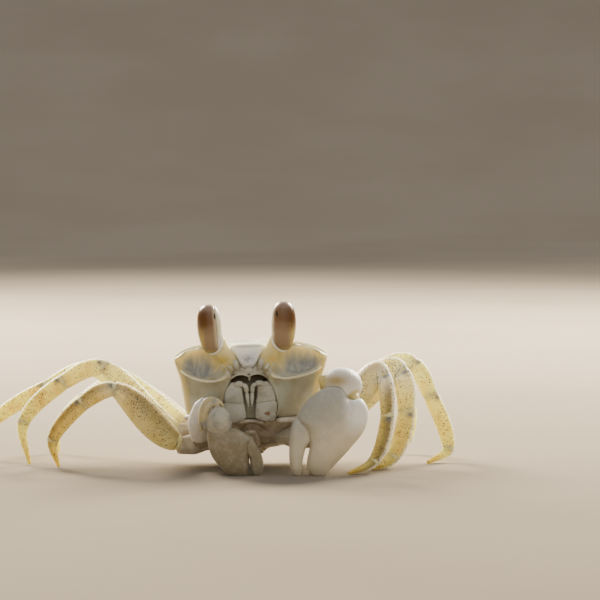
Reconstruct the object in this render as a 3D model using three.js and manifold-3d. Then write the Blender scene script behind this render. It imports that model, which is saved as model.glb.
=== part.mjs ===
// A ghost crab, standing on the tips of its eight walking legs and of its two claws.
// Millimetres, +Z up. The crab faces -Y, so its left side is on +X. The frame's origin is
// at the middle of the bottom of its box, on the floor.

import * as THREE from 'three';
import { mergeVertices } from 'three/addons/utils/BufferGeometryUtils.js';
import Module from 'manifold-3d';

const wasm = await Module();
wasm.setup();

// ---------------------------------------------------------------- driving dimensions
const GAP = 0.3; // clear space left between neighbouring pieces
const ROLL = THREE.MathUtils.degToRad(2.4); // the trunk leans, its left side up
const ROLL_CENTRE_Z = 15;

// Trunk, seen level: widths are half widths, depths are places on Y.
const TOOTH_X = 18.1; // outer orbital tooth, where the shell is widest
const SHELL_FRONT_Y = -14.4;
const SHELL_REAR_Y = 17.2;
const SHELL_TOP_Z = 29.7;
const SHELL_RIM_Z = 26.2; // height of the sharp edge round the top of the shell
const SHELL_BOTTOM_Z = 12;
const REAR_FALL = 0.011; // per mm of depth squared, behind the middle
const STERNUM_BOTTOM_Z = 4.7;
const MOUTH_HALF_WIDTH = 6.1;
const MOUTH_BOTTOM_Z = 11.4;
const MOUTH_TOP_Z = 21;
const MOUTH_BACK_Y = -12.1;
const IN_FRONT_Y = -20; // clear of the face

// Eyes
const EYE_X = 8.15;
const EYE_Y = -15.2;
const EYE_BOTTOM_Z = 27.3;
const EYE_HEIGHT = 11.6;
const EYE_RADIUS = 2.85;
const STALK_BAND = 1.3; // how far the stalk's pale shell reaches round the eye
const EYE_LEAN = THREE.MathUtils.degToRad(2.5); // outward
// How far the pale shell sits behind the inner side, by the sign of the eye's side
const EYE_TURN = { 1: THREE.MathUtils.degToRad(30), [-1]: THREE.MathUtils.degToRad(4) };

// Half sizes of a leg's joints across (in the plane in which the leg bends) and through it
const HIP = { across: 2.1, through: 1.5 };
const KNEE = { across: 1.75, through: 1.35 };
const WRIST = { across: 1.85, through: 1.15 };
const ANKLE = { across: 1.5, through: 0.9 };
const TIP = { across: 0.42, through: 0.4 };

// Each walking leg's joints as it stands, from the socket in the sternum to the tip.
// Legs are counted from the front. Size is the leg's share of the longest leg's girth, sag lowers
// the merus between its joints, and kneePast is how far down the carpus side the knee opens.
const LEGS = {
  right: [
    { size: 0.96, socket: [-7, -3.6, 8], hip: [-16.8, -7, 6.2], knee: [-31.4, -11, 18.7],
      wrist: [-38.4, -10.5, 15.6], ankle: [-45.6, -8, 6.9], tip: [-44.6, -4, 0.22] },
    { size: 1.0, sag: 1.7, socket: [-7, 0, 8], hip: [-17.6, 0, 8.2], knee: [-34.4, 4, 22.7],
      wrist: [-43.8, 5, 19.2], ankle: [-53.2, 4, 9.8], tip: [-51.6, 0, 0.22] },
    { size: 0.98, socket: [-7, 4, 8], hip: [-16.2, 6.4, 9.4], knee: [-37.4, 13, 21.6],
      wrist: [-48.2, 15, 17.2], ankle: [-61.4, 16, 8.8], tip: [-66, 15, 0.22] },
    { size: 0.84, socket: [-6.5, 8, 8], hip: [-14.6, 12.4, 8.8], knee: [-31.6, 23.4, 17.4],
      wrist: [-39.6, 26.4, 14], ankle: [-46.6, 28, 6], tip: [-46.4, 26, 0.22] },
  ],
  left: [
    { size: 0.96, kneePast: 0.2, socket: [7, -3.6, 8.4], hip: [16.4, -6, 8], knee: [30, -8.4, 22.4],
      wrist: [32.2, -13, 12.6], ankle: [28.8, -17.4, 2.6], tip: [22.4, -20.6, 0.22] },
    { size: 1.0, kneePast: 0.15, socket: [7, 0, 8.4], hip: [16.6, 0, 9.4], knee: [34.2, 0.6, 22.3],
      wrist: [37.2, -3, 12.8], ankle: [34, -7, 2.6], tip: [27.6, -12, 0.22] },
    { size: 0.98, kneePast: 0.12, socket: [7, 4, 8.4], hip: [16.4, 6.4, 10], knee: [37.6, 9.6, 23.4],
      wrist: [42.8, 9.2, 15.6], ankle: [46.9, 6.6, 3.2], tip: [41.6, 2.4, 0.22] },
    { size: 0.84, socket: [6.5, 8, 8.4], hip: [14.8, 12.4, 9.2], knee: [32.2, 21.6, 18.6],
      wrist: [38.4, 24.2, 12.4], ankle: [38.2, 25.4, 3.6], tip: [35, 22.4, 0.22] },
  ],
};

// The claws, by the sign of their side. Arms are lines of places with half sizes along them.
// Palms and fingers are outlines seen from the front, as X and Z, with a place on Y.
const CLAW_ROOTS = { 1: [12.8, -13.4, 8.4], [-1]: [-11.6, -13.4, 7] };
const CLAWS = {
  1: {
    arm: [CLAW_ROOTS[1], [16.4, -16, 13], [20.4, -16.4, 18.8]],
    armWidth: {
      across: [[0, 2], [0.5, 3.4], [1, 2.6]],
      through: [[0, 1.4], [0.5, 1.6], [1, 1.4]],
    },
    carpus: { centre: [20.7, -17.7, 20.2], half: [4.9, 3.9, 4.1] },
    palm: [
      [10.6, 12.9], [12.6, 16.5], [16.6, 19.7], [20.4, 19.9], [22.1, 17.7], [23.2, 17.1],
      [25.1, 17.5], [26.8, 14.8], [26.1, 10.6], [22.6, 6], [18.2, 1.2], [16.6, -0.6],
      [14.9, -0.6], [13.4, 1.2], [13.3, 3.4], [13.8, 6], [13.2, 9], [11.8, 11.8],
    ],
    palmSize: { y: -21.6, halfThickness: 3.5, points: 24 },
    finger: [
      [10, 12.3], [9.1, 8], [9, 3.2], [9.9, 0.2], [10.8, -0.5],
      [11.5, 0.8], [12, 4.2], [12.8, 7.4], [12.2, 10], [11.2, 11.5],
    ],
    fingerSize: { y: -21.6, halfThickness: 2.4, points: 18, layers: 5 },
  },
  [-1]: {
    arm: [CLAW_ROOTS[-1], [-11.6, -16.2, 11.6], [-10.2, -17, 17.2]],
    armWidth: {
      across: [[0, 2], [0.5, 2.8], [0.85, 2.2], [1, 0.9]],
      through: [[0, 1.4], [0.5, 2], [1, 0.9]],
    },
    carpus: { centre: [-7.2, -20.2, 12], half: [3.1, 2.5, 4] },
    palm: [
      [-9.6, 10.4], [-9.6, 7], [-8.6, 4.1], [-6.2, 1.2], [-4.2, -0.5], [-2.4, -0.5], [-1.1, 1.4],
      [-0.5, 4], [0.1, 7.4], [0.4, 8.3], [-2, 10], [-3.5, 10.7], [-5, 10.7], [-7.2, 11],
    ],
    palmSize: { y: -21.4, halfThickness: 2.6, points: 20, layers: 5 },
    finger: [
      [0.9, 7.8], [2.5, 4.9], [3, 3.2], [2.9, 1.6], [2.2, -0.4], [1.1, -0.5], [0.3, 1.2],
      [-0.1, 4.1], [0.2, 6.4],
    ],
    fingerSize: { y: -21.4, halfThickness: 1.9, points: 16, layers: 4 },
  },
};

const COLOURS = {
  shell: 0xd9d3b4, face: 0xc9c5b8, underside: 0xb9b0a2, eye: 0x9a6a3c, stalk: 0xe0d9ad,
  claw: 0xd2cdc8, leg: 0xd3bd78, foot: 0xc9a855,
};

// ---------------------------------------------------------------- helpers
const vector = (p) => new THREE.Vector3(...p);
const DEPTH = new THREE.Vector3(0, 1, 0);
const UP = new THREE.Vector3(0, 0, 1);
const mix = THREE.MathUtils.lerp;

/** Value on a chain of [place, value] stops at a place, eased between the stops. */
function along(stops, place) {
  const next = Math.max(1, stops.findIndex(([at]) => at >= place));
  const [[p0, v0], [p1, v1]] = [stops[next - 1], stops[next]];
  const share = THREE.MathUtils.clamp((place - p0) / (p1 - p0), 0, 1);
  return mix(v0, v1, share);
}

/** Sign-keeping power, for the flattened rounds of a superellipse. */
const bend = (value, power) => Math.sign(value) * Math.abs(value) ** power;

/** Six times the signed volume of an indexed closed surface. */
function signedVolume(geometry) {
  const p = geometry.attributes.position;
  const [a, b, c] = [new THREE.Vector3(), new THREE.Vector3(), new THREE.Vector3()];
  let sum = 0;
  for (let i = 0; i < geometry.index.count; i += 3) {
    a.fromBufferAttribute(p, geometry.index.getX(i));
    b.fromBufferAttribute(p, geometry.index.getX(i + 1));
    c.fromBufferAttribute(p, geometry.index.getX(i + 2));
    sum += a.dot(b.cross(c));
  }
  return sum;
}

/** The mean of some points. */
const middleOf = (points) => points
  .reduce((sum, p) => sum.add(p), new THREE.Vector3())
  .divideScalar(points.length);

/** One closed body through rings of points, capped at both ends, with its faces outward. */
function loft(rings) {
  const sides = rings[0].length;
  const points = rings.flat();
  const index = [];
  for (let r = 0; r + 1 < rings.length; r++) {
    for (let s = 0; s < sides; s++) {
      const a = r * sides + s;
      const b = r * sides + ((s + 1) % sides);
      index.push(a, b, b + sides, a, b + sides, a + sides);
    }
  }
  const lastRing = points.length - sides;
  for (const first of [0, lastRing]) {
    const centre = points.push(middleOf(points.slice(first, first + sides))) - 1;
    for (let s = 0; s < sides; s++) {
      const pair = [first + s, first + ((s + 1) % sides)];
      index.push(centre, ...(first === 0 ? pair.reverse() : pair));
    }
  }
  return facingOut(points, index);
}

/** Geometry from points and triangles, turned so that its faces point outward. */
function facingOut(points, index) {
  const geometry = new THREE.BufferGeometry().setFromPoints(points);
  geometry.setIndex(index);
  if (signedVolume(geometry) < 0) {
    geometry.setIndex(index.reverse());
  }
  geometry.computeVertexNormals();
  return geometry;
}

/** The solid that a closed geometry bounds. */
function solid(geometry) {
  const bare = geometry.clone();
  bare.deleteAttribute('normal');
  bare.deleteAttribute('uv');
  const merged = mergeVertices(bare, 1e-4);
  return new wasm.Manifold(new wasm.Mesh({
    numProp: 3,
    vertProperties: Float32Array.from(merged.attributes.position.array),
    triVerts: Uint32Array.from(merged.index.array),
  }));
}

/** The geometry of a solid. */
function surface(body) {
  const { vertProperties, triVerts } = body.getMesh();
  const geometry = new THREE.BufferGeometry();
  geometry.setAttribute('position', new THREE.BufferAttribute(vertProperties, 3));
  geometry.setIndex(new THREE.BufferAttribute(triVerts, 1));
  geometry.computeVertexNormals();
  return geometry;
}

/** A box between two corners, as a solid. */
function block(low, high) {
  const [a, b] = [vector(low), vector(high)];
  const size = b.clone().sub(a);
  const box = new THREE.BoxGeometry(size.x, size.y, size.z);
  box.translate(...a.add(b).multiplyScalar(0.5).toArray());
  return solid(box);
}

const UNDER_FLOOR = block([-120, -120, -20], [120, 120, 0]);

/** A geometry with all that reaches below the floor cut off, so that it stands on a flat. */
const standing = (geometry) => surface(solid(geometry).subtract(UNDER_FLOOR));

/** A ball with three half sizes about a centre. */
function ball(centre, half, across = 12, up = 8) {
  const geometry = new THREE.SphereGeometry(1, across, up);
  geometry.rotateX(Math.PI / 2);
  geometry.scale(...half);
  geometry.translate(...centre);
  return geometry;
}

/** A ring round a curve's point: `across` lies in the plane of bending, `through` on its normal. */
function section(centre, tangent, normal, across, through, sides) {
  const inPlane = new THREE.Vector3().crossVectors(normal, tangent).normalize();
  const side = new THREE.Vector3().crossVectors(tangent, inPlane).normalize();
  return Array.from({ length: sides }, (_, i) => {
    const angle = (i / sides) * 2 * Math.PI;
    return centre.clone()
      .addScaledVector(inPlane, Math.cos(angle) * across)
      .addScaledVector(side, Math.sin(angle) * through);
  });
}

/** Stops with every value grown. */
const grown = (stops, grow) => stops.map(([at, value]) => [at, value + grow]);

/** Rings along part of a curve. Stops give the section's half sizes at shares of the part. */
function sweep(curve, span, normal, across, through, { steps, sides, sag = 0 }) {
  return Array.from({ length: steps + 1 }, (_, i) => {
    const share = i / steps;
    const place = mix(span[0], span[1], share);
    const centre = curve.getPoint(place);
    centre.z -= sag * Math.sin(Math.PI * share);
    return section(centre, curve.getTangent(place), normal,
      along(across, share), along(through, share), sides);
  });
}

const group = new THREE.Group();
const trunk = new THREE.Group();
trunk.rotation.y = -ROLL;
trunk.position.set(ROLL_CENTRE_Z * Math.sin(ROLL), 0, ROLL_CENTRE_Z * (1 - Math.cos(ROLL)));
trunk.updateMatrix();
group.add(trunk);

/** Adds a named piece of the crab to a group. */
function piece(parent, name, geometry, color, roughness = 0.5) {
  const material = new THREE.MeshStandardMaterial({ color, roughness, metalness: 0 });
  const mesh = new THREE.Mesh(geometry, material);
  mesh.name = name;
  parent.add(mesh);
  return mesh;
}

// ---------------------------------------------------------------- eyes
/** A rounded capsule that stands on its narrower end, grown by a clear space. */
function eyeCapsule(grow) {
  const steps = 9;
  const profile = Array.from({ length: steps + 1 }, (_, i) => {
    const angle = (i / steps - 0.5) * Math.PI;
    const radius = (EYE_RADIUS + grow) * Math.cos(angle) ** 0.72 * (1 + 0.06 * Math.sin(angle));
    const height = EYE_HEIGHT / 2 * (1 + Math.sin(angle)) + grow * Math.sin(angle);
    return new THREE.Vector2(i === 0 || i === steps ? 0 : radius, height);
  });
  return new THREE.LatheGeometry(profile, 14).rotateX(Math.PI / 2);
}

/** Places a piece of the eye on the side of the given sign, leaning a little outward. */
function setEye(geometry, side) {
  geometry.rotateY(side * EYE_LEAN);
  geometry.translate(side * EYE_X, EYE_Y, EYE_BOTTOM_Z);
  return solid(geometry);
}

/** All of the space inward of and behind an upright plane through the eye. */
function innerSpace(side, shift) {
  const room = new THREE.BoxGeometry(20, 20, 40).translate(-side * (10 + shift), 0, 5);
  return setEye(room.rotateZ(-side * EYE_TURN[side]), side);
}

/** The stalk's neck, from beside the front to the foot of the eye, grown by a clear space. */
function stalkNeck(side, grow) {
  const line = new THREE.CatmullRomCurve3([
    [side * (3.9 - grow), -13.5, 26.1],
    [side * 5, -14.4, 26.5],
    [side * 6.1, -14.9, 27.6],
    [side * 6.5, -14.9, 30],
  ].map(vector));
  const across = grown([[0, 1.3], [0.5, 1.6], [1, 0.9]], grow);
  const through = grown([[0, 1.2], [0.5, 1.4], [1, 0.9]], grow);
  return solid(loft(sweep(line, [0, 1], DEPTH, across, through, { steps: 4, sides: 8 })));
}

let eyeRoom = null;
for (const [name, side] of [['left', 1], ['right', -1]]) {
  const capsule = setEye(eyeCapsule(0), side);
  const backShift = EYE_RADIUS - STALK_BAND;
  const cornea = capsule.subtract(innerSpace(side, backShift));
  const corneaRoom = setEye(eyeCapsule(GAP), side).subtract(innerSpace(side, backShift + GAP));
  const stalk = capsule.intersect(innerSpace(side, backShift))
    .add(stalkNeck(side, 0))
    .subtract(corneaRoom);
  const room = setEye(eyeCapsule(GAP), side).add(stalkNeck(side, GAP));
  eyeRoom = eyeRoom ? eyeRoom.add(room) : room;
  piece(trunk, `eye_${name}`, surface(cornea), COLOURS.eye, 0.18);
  piece(trunk, `eyestalk_${name}`, surface(stalk), COLOURS.stalk, 0.4);
}

// ---------------------------------------------------------------- trunk
/** A level outline: square in front, rounder and narrower behind. */
function outline(z, halfWidth, front, rear, { square = 4, round = 3, taper = 0.3, sides = 28 } = {}) {
  return Array.from({ length: sides }, (_, i) => {
    const angle = ((i + 0.5) / sides) * 2 * Math.PI;
    const power = 2 / (Math.sin(angle) < 0 ? square : round);
    const depth = bend(Math.sin(angle), power);
    const behind = (depth + 1) / 2;
    const x = halfWidth * bend(Math.cos(angle), power) * (1 - taper * behind ** 1.6);
    return new THREE.Vector3(x, mix(front, rear, behind), z);
  });
}

/** The hollow in which a folded eye lies, on the side of the given sign. */
function orbit(side) {
  const steps = 9;
  const rings = Array.from({ length: steps + 1 }, (_, i) => {
    const share = i / steps;
    const x = mix(5.2, TOOTH_X - 0.7, share);
    const top = along([[0, 26.9], [0.3, 27.9], [0.6, 27.6], [0.85, 26.2], [1, 25.1]], share);
    const bottom = along([[0, 22.2], [0.2, 21.1], [0.5, 20.9], [0.8, 22.2], [1, 24.3]], share);
    const depth = along([[0, 2.4], [0.3, 6.3], [0.7, 6.3], [1, 1.6]], share);
    return Array.from({ length: 12 }, (_, k) => {
      const angle = (k / 12) * 2 * Math.PI;
      return new THREE.Vector3(side * x, SHELL_FRONT_Y - 1.2 + Math.cos(angle) * (depth + 1.2),
        (top + bottom) / 2 + Math.sin(angle) * (top - bottom) / 2);
    });
  });
  return solid(loft(rings));
}

/** The down-turned front between the eyes: a shield that narrows to a blunt tip. */
function front(grow) {
  const stops = [[0, 4.2], [0.25, 3.7], [0.6, 2.5], [0.85, 1.9], [1, 1.1]];
  const steps = 6;
  const rings = Array.from({ length: steps + 1 }, (_, i) => {
    const share = i / steps;
    const y = SHELL_FRONT_Y + along([[0, 0.6], [0.3, -0.4], [1, -0.9]], share);
    const half = along(stops, share) + grow;
    const centre = new THREE.Vector3(0, y, mix(28.4, 24.1 - grow, share));
    return section(centre, UP.clone().negate(), DEPTH, half, 0.9 + grow, 10);
  });
  return solid(loft(rings));
}

/** Space cut in the face for the mouth's plates, wider below than above. */
function mouthFrame() {
  const levels = [
    [MOUTH_BOTTOM_Z - GAP, MOUTH_HALF_WIDTH - 0.5],
    [16.2, MOUTH_HALF_WIDTH],
    [MOUTH_TOP_Z + GAP, 4.2],
  ];
  return solid(loft(levels.map(([z, half]) => {
    const reach = half + GAP;
    return [
      [-reach, IN_FRONT_Y], [reach, IN_FRONT_Y], [reach, MOUTH_BACK_Y], [-reach, MOUTH_BACK_Y],
    ].map(([x, y]) => new THREE.Vector3(x, y, z));
  })));
}

/** Lets the shell's back fall away behind, more so towards its top. */
function crowned(ring) {
  for (const point of ring) {
    const rise = (point.z - SHELL_BOTTOM_Z) / (SHELL_TOP_Z - SHELL_BOTTOM_Z);
    point.z -= rise * REAR_FALL * Math.max(0, point.y + 2) ** 2;
  }
  return ring;
}

const shellRings = [
  outline(SHELL_BOTTOM_Z, 15.9, -12.4, 13.6, { taper: 0.22 }),
  outline(14.4, 16.5, -13.3, 14.8, { taper: 0.24 }),
  outline(18, 16.9, -13.9, 16, { taper: 0.26 }),
  outline(22, 17.3, SHELL_FRONT_Y + 0.1, 16.9, { square: 5, taper: 0.27 }),
  outline(24.8, 17.9, SHELL_FRONT_Y, SHELL_REAR_Y, { square: 8, taper: 0.28 }),
  outline(SHELL_RIM_Z - 0.2, TOOTH_X, SHELL_FRONT_Y, SHELL_REAR_Y - 0.4, { square: 9, taper: 0.28 }),
  outline(27.4, 16.4, SHELL_FRONT_Y + 0.1, 15.4, { square: 6 }),
  outline(28.5, 13.4, SHELL_FRONT_Y + 0.2, 12.6, { square: 5 }),
  outline(29.3, 9.4, -13, 8.6),
  outline(SHELL_TOP_Z, 4.2, -7.4, 4.4),
].map(crowned);
const shell = solid(loft(shellRings))
  .subtract(orbit(1))
  .subtract(orbit(-1))
  .subtract(eyeRoom)
  .add(front(0))
  .subtract(mouthFrame());
piece(trunk, 'carapace', surface(shell), COLOURS.shell, 0.45);

/** The flattened arm of a claw, from the sternum's stub, grown by a clear space. */
function armBody(side, grow, start) {
  const { arm, armWidth } = CLAWS[side];
  const line = new THREE.CatmullRomCurve3(arm.map(vector));
  return loft(sweep(line, [start, 1], DEPTH,
    grown(armWidth.across, grow), grown(armWidth.through, grow), { steps: 6, sides: 10 }));
}

/** The sternum's core as it leans with the trunk, grown by a clear space. */
function sternumCore(grow) {
  const shape = { square: 3, taper: 0.22, sides: 20 };
  const rings = [
    [STERNUM_BOTTOM_Z - grow, 8.2, -2.4, 8],
    [6.8, 11, -6.8, 10],
    [9.2, 13, -10, 11.6],
    [SHELL_BOTTOM_Z - GAP, 14.6, -11.8, 12.8],
  ].map(([z, half, low, high]) => outline(z, half + grow, low - grow, high + grow, shape));
  return loft(rings).applyMatrix4(trunk.matrix);
}

/** The curve on which a leg's joints stand, and the normal of the plane in which it bends. */
function legLine(leg) {
  const joints = ['socket', 'hip', 'knee', 'wrist', 'ankle', 'tip'].map((name) => vector(leg[name]));
  const reach = joints.at(-2).clone().sub(joints[1]).setZ(0);
  const normal = new THREE.Vector3().crossVectors(reach, UP).normalize();
  return {
    curve: new THREE.CatmullRomCurve3(joints, false, 'centripetal'),
    normal,
    joints,
    kneePast: leg.kneePast ?? 0,
  };
}

/** Where one segment of a leg begins and ends on the leg's curve, short of its neighbours. */
function segmentSpan(line, number) {
  const length = line.joints[number].distanceTo(line.joints[number + 1]);
  const trim = GAP / 2 / length;
  const [from, to] = [number, number + 1].map((joint) => joint + (joint === 2 ? line.kneePast : 0));
  return [(from + trim) / 5, (to - (number === 4 ? 0 : trim)) / 5];
}

const STUB = { steps: 3, sides: 8 };

/** The stub of a leg's first joints, which grows from the sternum, grown by a clear space. */
function hipStub(leg, grow) {
  const line = legLine(leg);
  const across = [[0, 2.4 + grow], [0.6, 2.5 * leg.size + grow], [1, HIP.across * leg.size + grow]];
  const through = [[0, 1.9 + grow], [0.6, 2.0 * leg.size + grow], [1, HIP.through * leg.size + grow]];
  const rings = sweep(line.curve, segmentSpan(line, 0), line.normal, across, through, STUB);
  return solid(loft(rings));
}

let sternum = solid(sternumCore(0));
for (const leg of [...LEGS.right, ...LEGS.left]) {
  sternum = sternum.add(hipStub(leg, 0));
}

/** The stub that carries a claw's arm in front of the first leg. */
function clawBase(side) {
  const places = [[side * 7, -6, 8], [side * 10.4, -10.4, 7.6], CLAW_ROOTS[side]];
  const root = new THREE.CatmullRomCurve3(places.map(vector));
  const width = [[0, 2.4], [0.6, 2.6], [1, 2]];
  return solid(loft(sweep(root, [0, 1], UP, width, width, STUB)));
}

for (const [name, side] of [['left', 1], ['right', -1]]) {
  const base = clawBase(side)
    .subtract(solid(armBody(side, GAP, 0)))
    .subtract(solid(sternumCore(GAP)))
    .subtract(hipStub(LEGS[name][0], GAP));
  piece(group, `claw_${name}_base`, surface(base), COLOURS.underside, 0.5);
}

// The abdomen is a narrow plate folded forward under the sternum.
const ABDOMEN_SECTION = [
  [14.4, 12.6], [12.6, 7.4], [8.6, 3.9], [3, 3.7], [-3.2, 4], [-7.2, 6.3], [-10.9, 9.9],
]; // places on Y and Z, from the shell's rear edge forward
const ABDOMEN_HALF_WIDTH = [[0, 6], [0.3, 6.2], [0.6, 3.6], [0.9, 2.6], [1, 1.5]];
const ABDOMEN_HALF_THICKNESS = [[0, 0.5], [1, 0.5]];

/** The folded plate over part of its line, grown by a clear space. */
function abdomenPlate(span, grow) {
  const line = new THREE.CatmullRomCurve3(ABDOMEN_SECTION.map(([y, z]) => new THREE.Vector3(0, y, z)));
  return solid(loft(sweep(line, span, new THREE.Vector3(1, 0, 0),
    grown(ABDOMEN_HALF_THICKNESS, grow), grown(ABDOMEN_HALF_WIDTH, grow), { steps: 12, sides: 8 })));
}

const shellInPlace = solid(surface(shell).applyMatrix4(trunk.matrix));
const abdomen = abdomenPlate([0.03, 0.97], 0).subtract(shellInPlace);
piece(group, 'abdomen', surface(abdomen), COLOURS.underside, 0.55);
sternum = sternum.subtract(abdomenPlate([0, 1], GAP));
piece(group, 'sternum', surface(sternum), COLOURS.underside, 0.55);

// ---------------------------------------------------------------- mouth
/** One outer mouthpart: a broad two-part plate with a jointed feeler folded beside the midline. */
function maxilliped(side) {
  const steps = 5;
  const rings = Array.from({ length: steps + 1 }, (_, i) => {
    const share = i / steps;
    const z = mix(MOUTH_BOTTOM_Z + GAP, 20.2, share);
    const outer = along([[0, 5.2], [0.35, 5.75], [0.7, 4.7], [1, 3.2]], share);
    const inner = along([[0, 0.5], [0.3, 1.2], [0.8, 1.9], [1, 1.7]], share);
    const bulge = along([[0, 0.35], [0.2, 1], [0.8, 1], [1, 0.4]], share);
    const acrossPlate = (u) => side * (outer + inner + u * (outer - inner)) / 2;
    const back = MOUTH_BACK_Y - GAP;
    const front = [[-1, 0], [-0.85, 0.8], [-0.3, 1.15], [0.3, 1.15], [0.85, 0.8], [1, 0]];
    return front
      .map(([u, v]) => new THREE.Vector3(acrossPlate(u), back - 0.9 - v * bulge, z))
      .concat([1, -1].map((u) => new THREE.Vector3(acrossPlate(u), back, z)));
  });
  const feelerLine = new THREE.CatmullRomCurve3([
    [side * 3.1, -13.6, 19.6], [side * 1.9, -14, 20.2], [side * 0.95, -14.2, 18.6], [side * 0.8, -14.1, 15],
  ].map(vector));
  const feeler = loft(sweep(feelerLine, [0, 1], DEPTH,
    [[0, 0.8], [0.7, 0.55], [1, 0.3]], [[0, 0.7], [0.7, 0.55], [1, 0.3]], { steps: 5, sides: 8 }));
  return solid(loft(rings)).add(solid(feeler));
}
for (const [name, side] of [['maxilliped_left', 1], ['maxilliped_right', -1]]) {
  piece(trunk, name, surface(maxilliped(side)), COLOURS.face, 0.4);
}

// ---------------------------------------------------------------- feelers
const FACE_FRONT_Y = SHELL_FRONT_Y - GAP; // where pieces that lie on the face begin

// The plate between the front and the mouth, with the folded antennules at its upper corners.
const plateRings = [[21.9, 3.6], [22.8, 4], [23.7, 3]].map(([z, half]) => [
  [-half, 0], [half, 0], [half * 0.8, -0.9], [-half * 0.8, -0.9],
].map(([x, y]) => new THREE.Vector3(x, FACE_FRONT_Y + y, z)));
let epistome = solid(loft(plateRings));
for (const side of [1, -1]) {
  epistome = epistome.add(solid(ball([side * 2.9, FACE_FRONT_Y - 0.75, 24.2], [0.75, 0.7, 1.5], 8, 5)));
}
piece(trunk, 'epistome', surface(epistome.subtract(front(GAP))), COLOURS.face, 0.5);

for (const [name, side] of [['antenna_left', 1], ['antenna_right', -1]]) {
  const base = solid(ball([side * 5, FACE_FRONT_Y - 0.75, 22.6], [0.8, 0.7, 1.1], 8, 5));
  const feelerLine = new THREE.CatmullRomCurve3([
    [side * 5, FACE_FRONT_Y - 0.9, 23],
    [side * 5.6, FACE_FRONT_Y - 1.4, 24.2],
    [side * 6.6, FACE_FRONT_Y - 1.9, 25],
  ].map(vector));
  const thick = [[0, 0.4], [1, 0.27]];
  const feeler = loft(sweep(feelerLine, [0, 1], DEPTH, thick, thick, { steps: 4, sides: 6 }));
  piece(trunk, name, surface(base.add(solid(feeler))), COLOURS.face, 0.5);
}

// ---------------------------------------------------------------- claws
/** A flattened rounded body whose outline, seen from the front, is a smooth closed curve. */
function pillow(outlinePoints, { y, halfThickness, grow = 0, points = 24, layers = 6 }) {
  const places = outlinePoints.map(([x, z]) => new THREE.Vector3(x, 0, z));
  const line = new THREE.CatmullRomCurve3(places, true, 'centripetal');
  const edge = line.getSpacedPoints(points).slice(0, points);
  const middle = middleOf(edge);
  return loft(Array.from({ length: layers + 1 }, (_, i) => {
    const angle = mix(-1.3, 1.3, i / layers);
    const share = Math.cos(angle) ** 0.55;
    return edge.map((p) => {
      const arm = p.clone().sub(middle);
      const reach = arm.length();
      return middle.clone().addScaledVector(arm, share * (reach + grow) / reach)
        .setY(y + Math.sin(angle) * (halfThickness + grow));
    });
  }));
}

/** The pieces of one claw, from the arm out. The left one is the larger. */
function claw(side, name) {
  const { carpus, palm, palmSize, finger, fingerSize } = CLAWS[side];
  const cutters = {
    palm: solid(pillow(palm, { ...palmSize, grow: GAP })),
    finger: solid(pillow(finger, { ...fingerSize, grow: GAP })),
    carpus: solid(ball(carpus.centre, carpus.half.map((v) => v + GAP))),
  };
  const armPiece = solid(armBody(side, 0, 0.03))
    .subtract(cutters.carpus).subtract(cutters.palm).subtract(cutters.finger);
  const carpusBall = solid(ball(carpus.centre, carpus.half));
  const carpusPiece = side > 0 ? carpusBall.subtract(cutters.palm) : carpusBall;
  const palmBody = solid(pillow(palm, palmSize)).subtract(UNDER_FLOOR).subtract(cutters.finger);
  const palmPiece = side > 0 ? palmBody : palmBody.subtract(cutters.carpus);
  const fingerPiece = solid(pillow(finger, fingerSize)).subtract(UNDER_FLOOR);
  piece(group, `claw_${name}_arm`, surface(armPiece), COLOURS.claw, 0.45);
  piece(group, `claw_${name}_carpus`, surface(carpusPiece), COLOURS.claw, 0.4);
  piece(group, `claw_${name}_palm`, surface(palmPiece), COLOURS.claw, 0.4);
  piece(group, `claw_${name}_finger`, surface(fingerPiece), COLOURS.claw, 0.4);
}

claw(1, 'left');
claw(-1, 'right');

// ---------------------------------------------------------------- walking legs
const SEGMENTS = [
  { name: 'merus', from: HIP, to: KNEE, belly: { across: 1.6, through: 0.1 }, steps: 6 },
  { name: 'carpus', from: KNEE, to: WRIST, belly: { across: 0.3, through: 0.1 }, steps: 4 },
  { name: 'propodus', from: WRIST, to: ANKLE, belly: { across: 0.25, through: 0.1 }, steps: 5 },
  { name: 'dactylus', from: ANKLE, to: TIP, belly: { across: 0.25, through: 0.05 }, steps: 5 },
];

/** One segment of a leg, between two of its joints. */
function legSegment(line, number, { from, to, belly, steps }, size, sag) {
  const stops = (key) => [0, 0.15, 0.35, 0.55, 0.75, 0.9, 1].map((at) => {
    const ends = mix(from[key], to[key], at);
    return [at, size * (ends + belly[key] * Math.sin(Math.PI * at ** 0.85))];
  });
  return loft(sweep(line.curve, segmentSpan(line, number), line.normal,
    stops('across'), stops('through'), { steps, sides: 8, sag }));
}

for (const [sideName, legs] of Object.entries(LEGS)) {
  legs.forEach((leg, i) => {
    const line = legLine(leg);
    SEGMENTS.forEach((segment, k) => {
      const sag = k === 0 ? leg.sag : 0;
      const body = legSegment(line, k + 1, segment, leg.size, sag);
      const last = k === SEGMENTS.length - 1;
      piece(group, `leg_${sideName}_${i + 1}_${segment.name}`,
        last ? standing(body) : body, last ? COLOURS.foot : COLOURS.leg);
    });
  });
}

// The origin goes to the middle of the bottom of the whole crab's box.
group.updateMatrixWorld(true);
const whole = new THREE.Box3().setFromObject(group, true);
const centre = whole.getCenter(new THREE.Vector3());
group.position.set(-centre.x, -centre.y, -whole.min.z);

export default group;
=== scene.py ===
"""A life-size ghost crab, alert on the tips of its legs with both claws held down before its face.

Pieces are modelled in the crab's own millimetres (+X its left, -Y forward, +Z up) and then set
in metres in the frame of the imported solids. A shape or mark that both sides share is written for
the left side. A share is a place along a piece, from 0 to 1.
"""
import logging
import math
import random
from collections.abc import Callable, Iterator, Sequence
from contextlib import contextmanager
from dataclasses import dataclass
from enum import Enum

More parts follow.
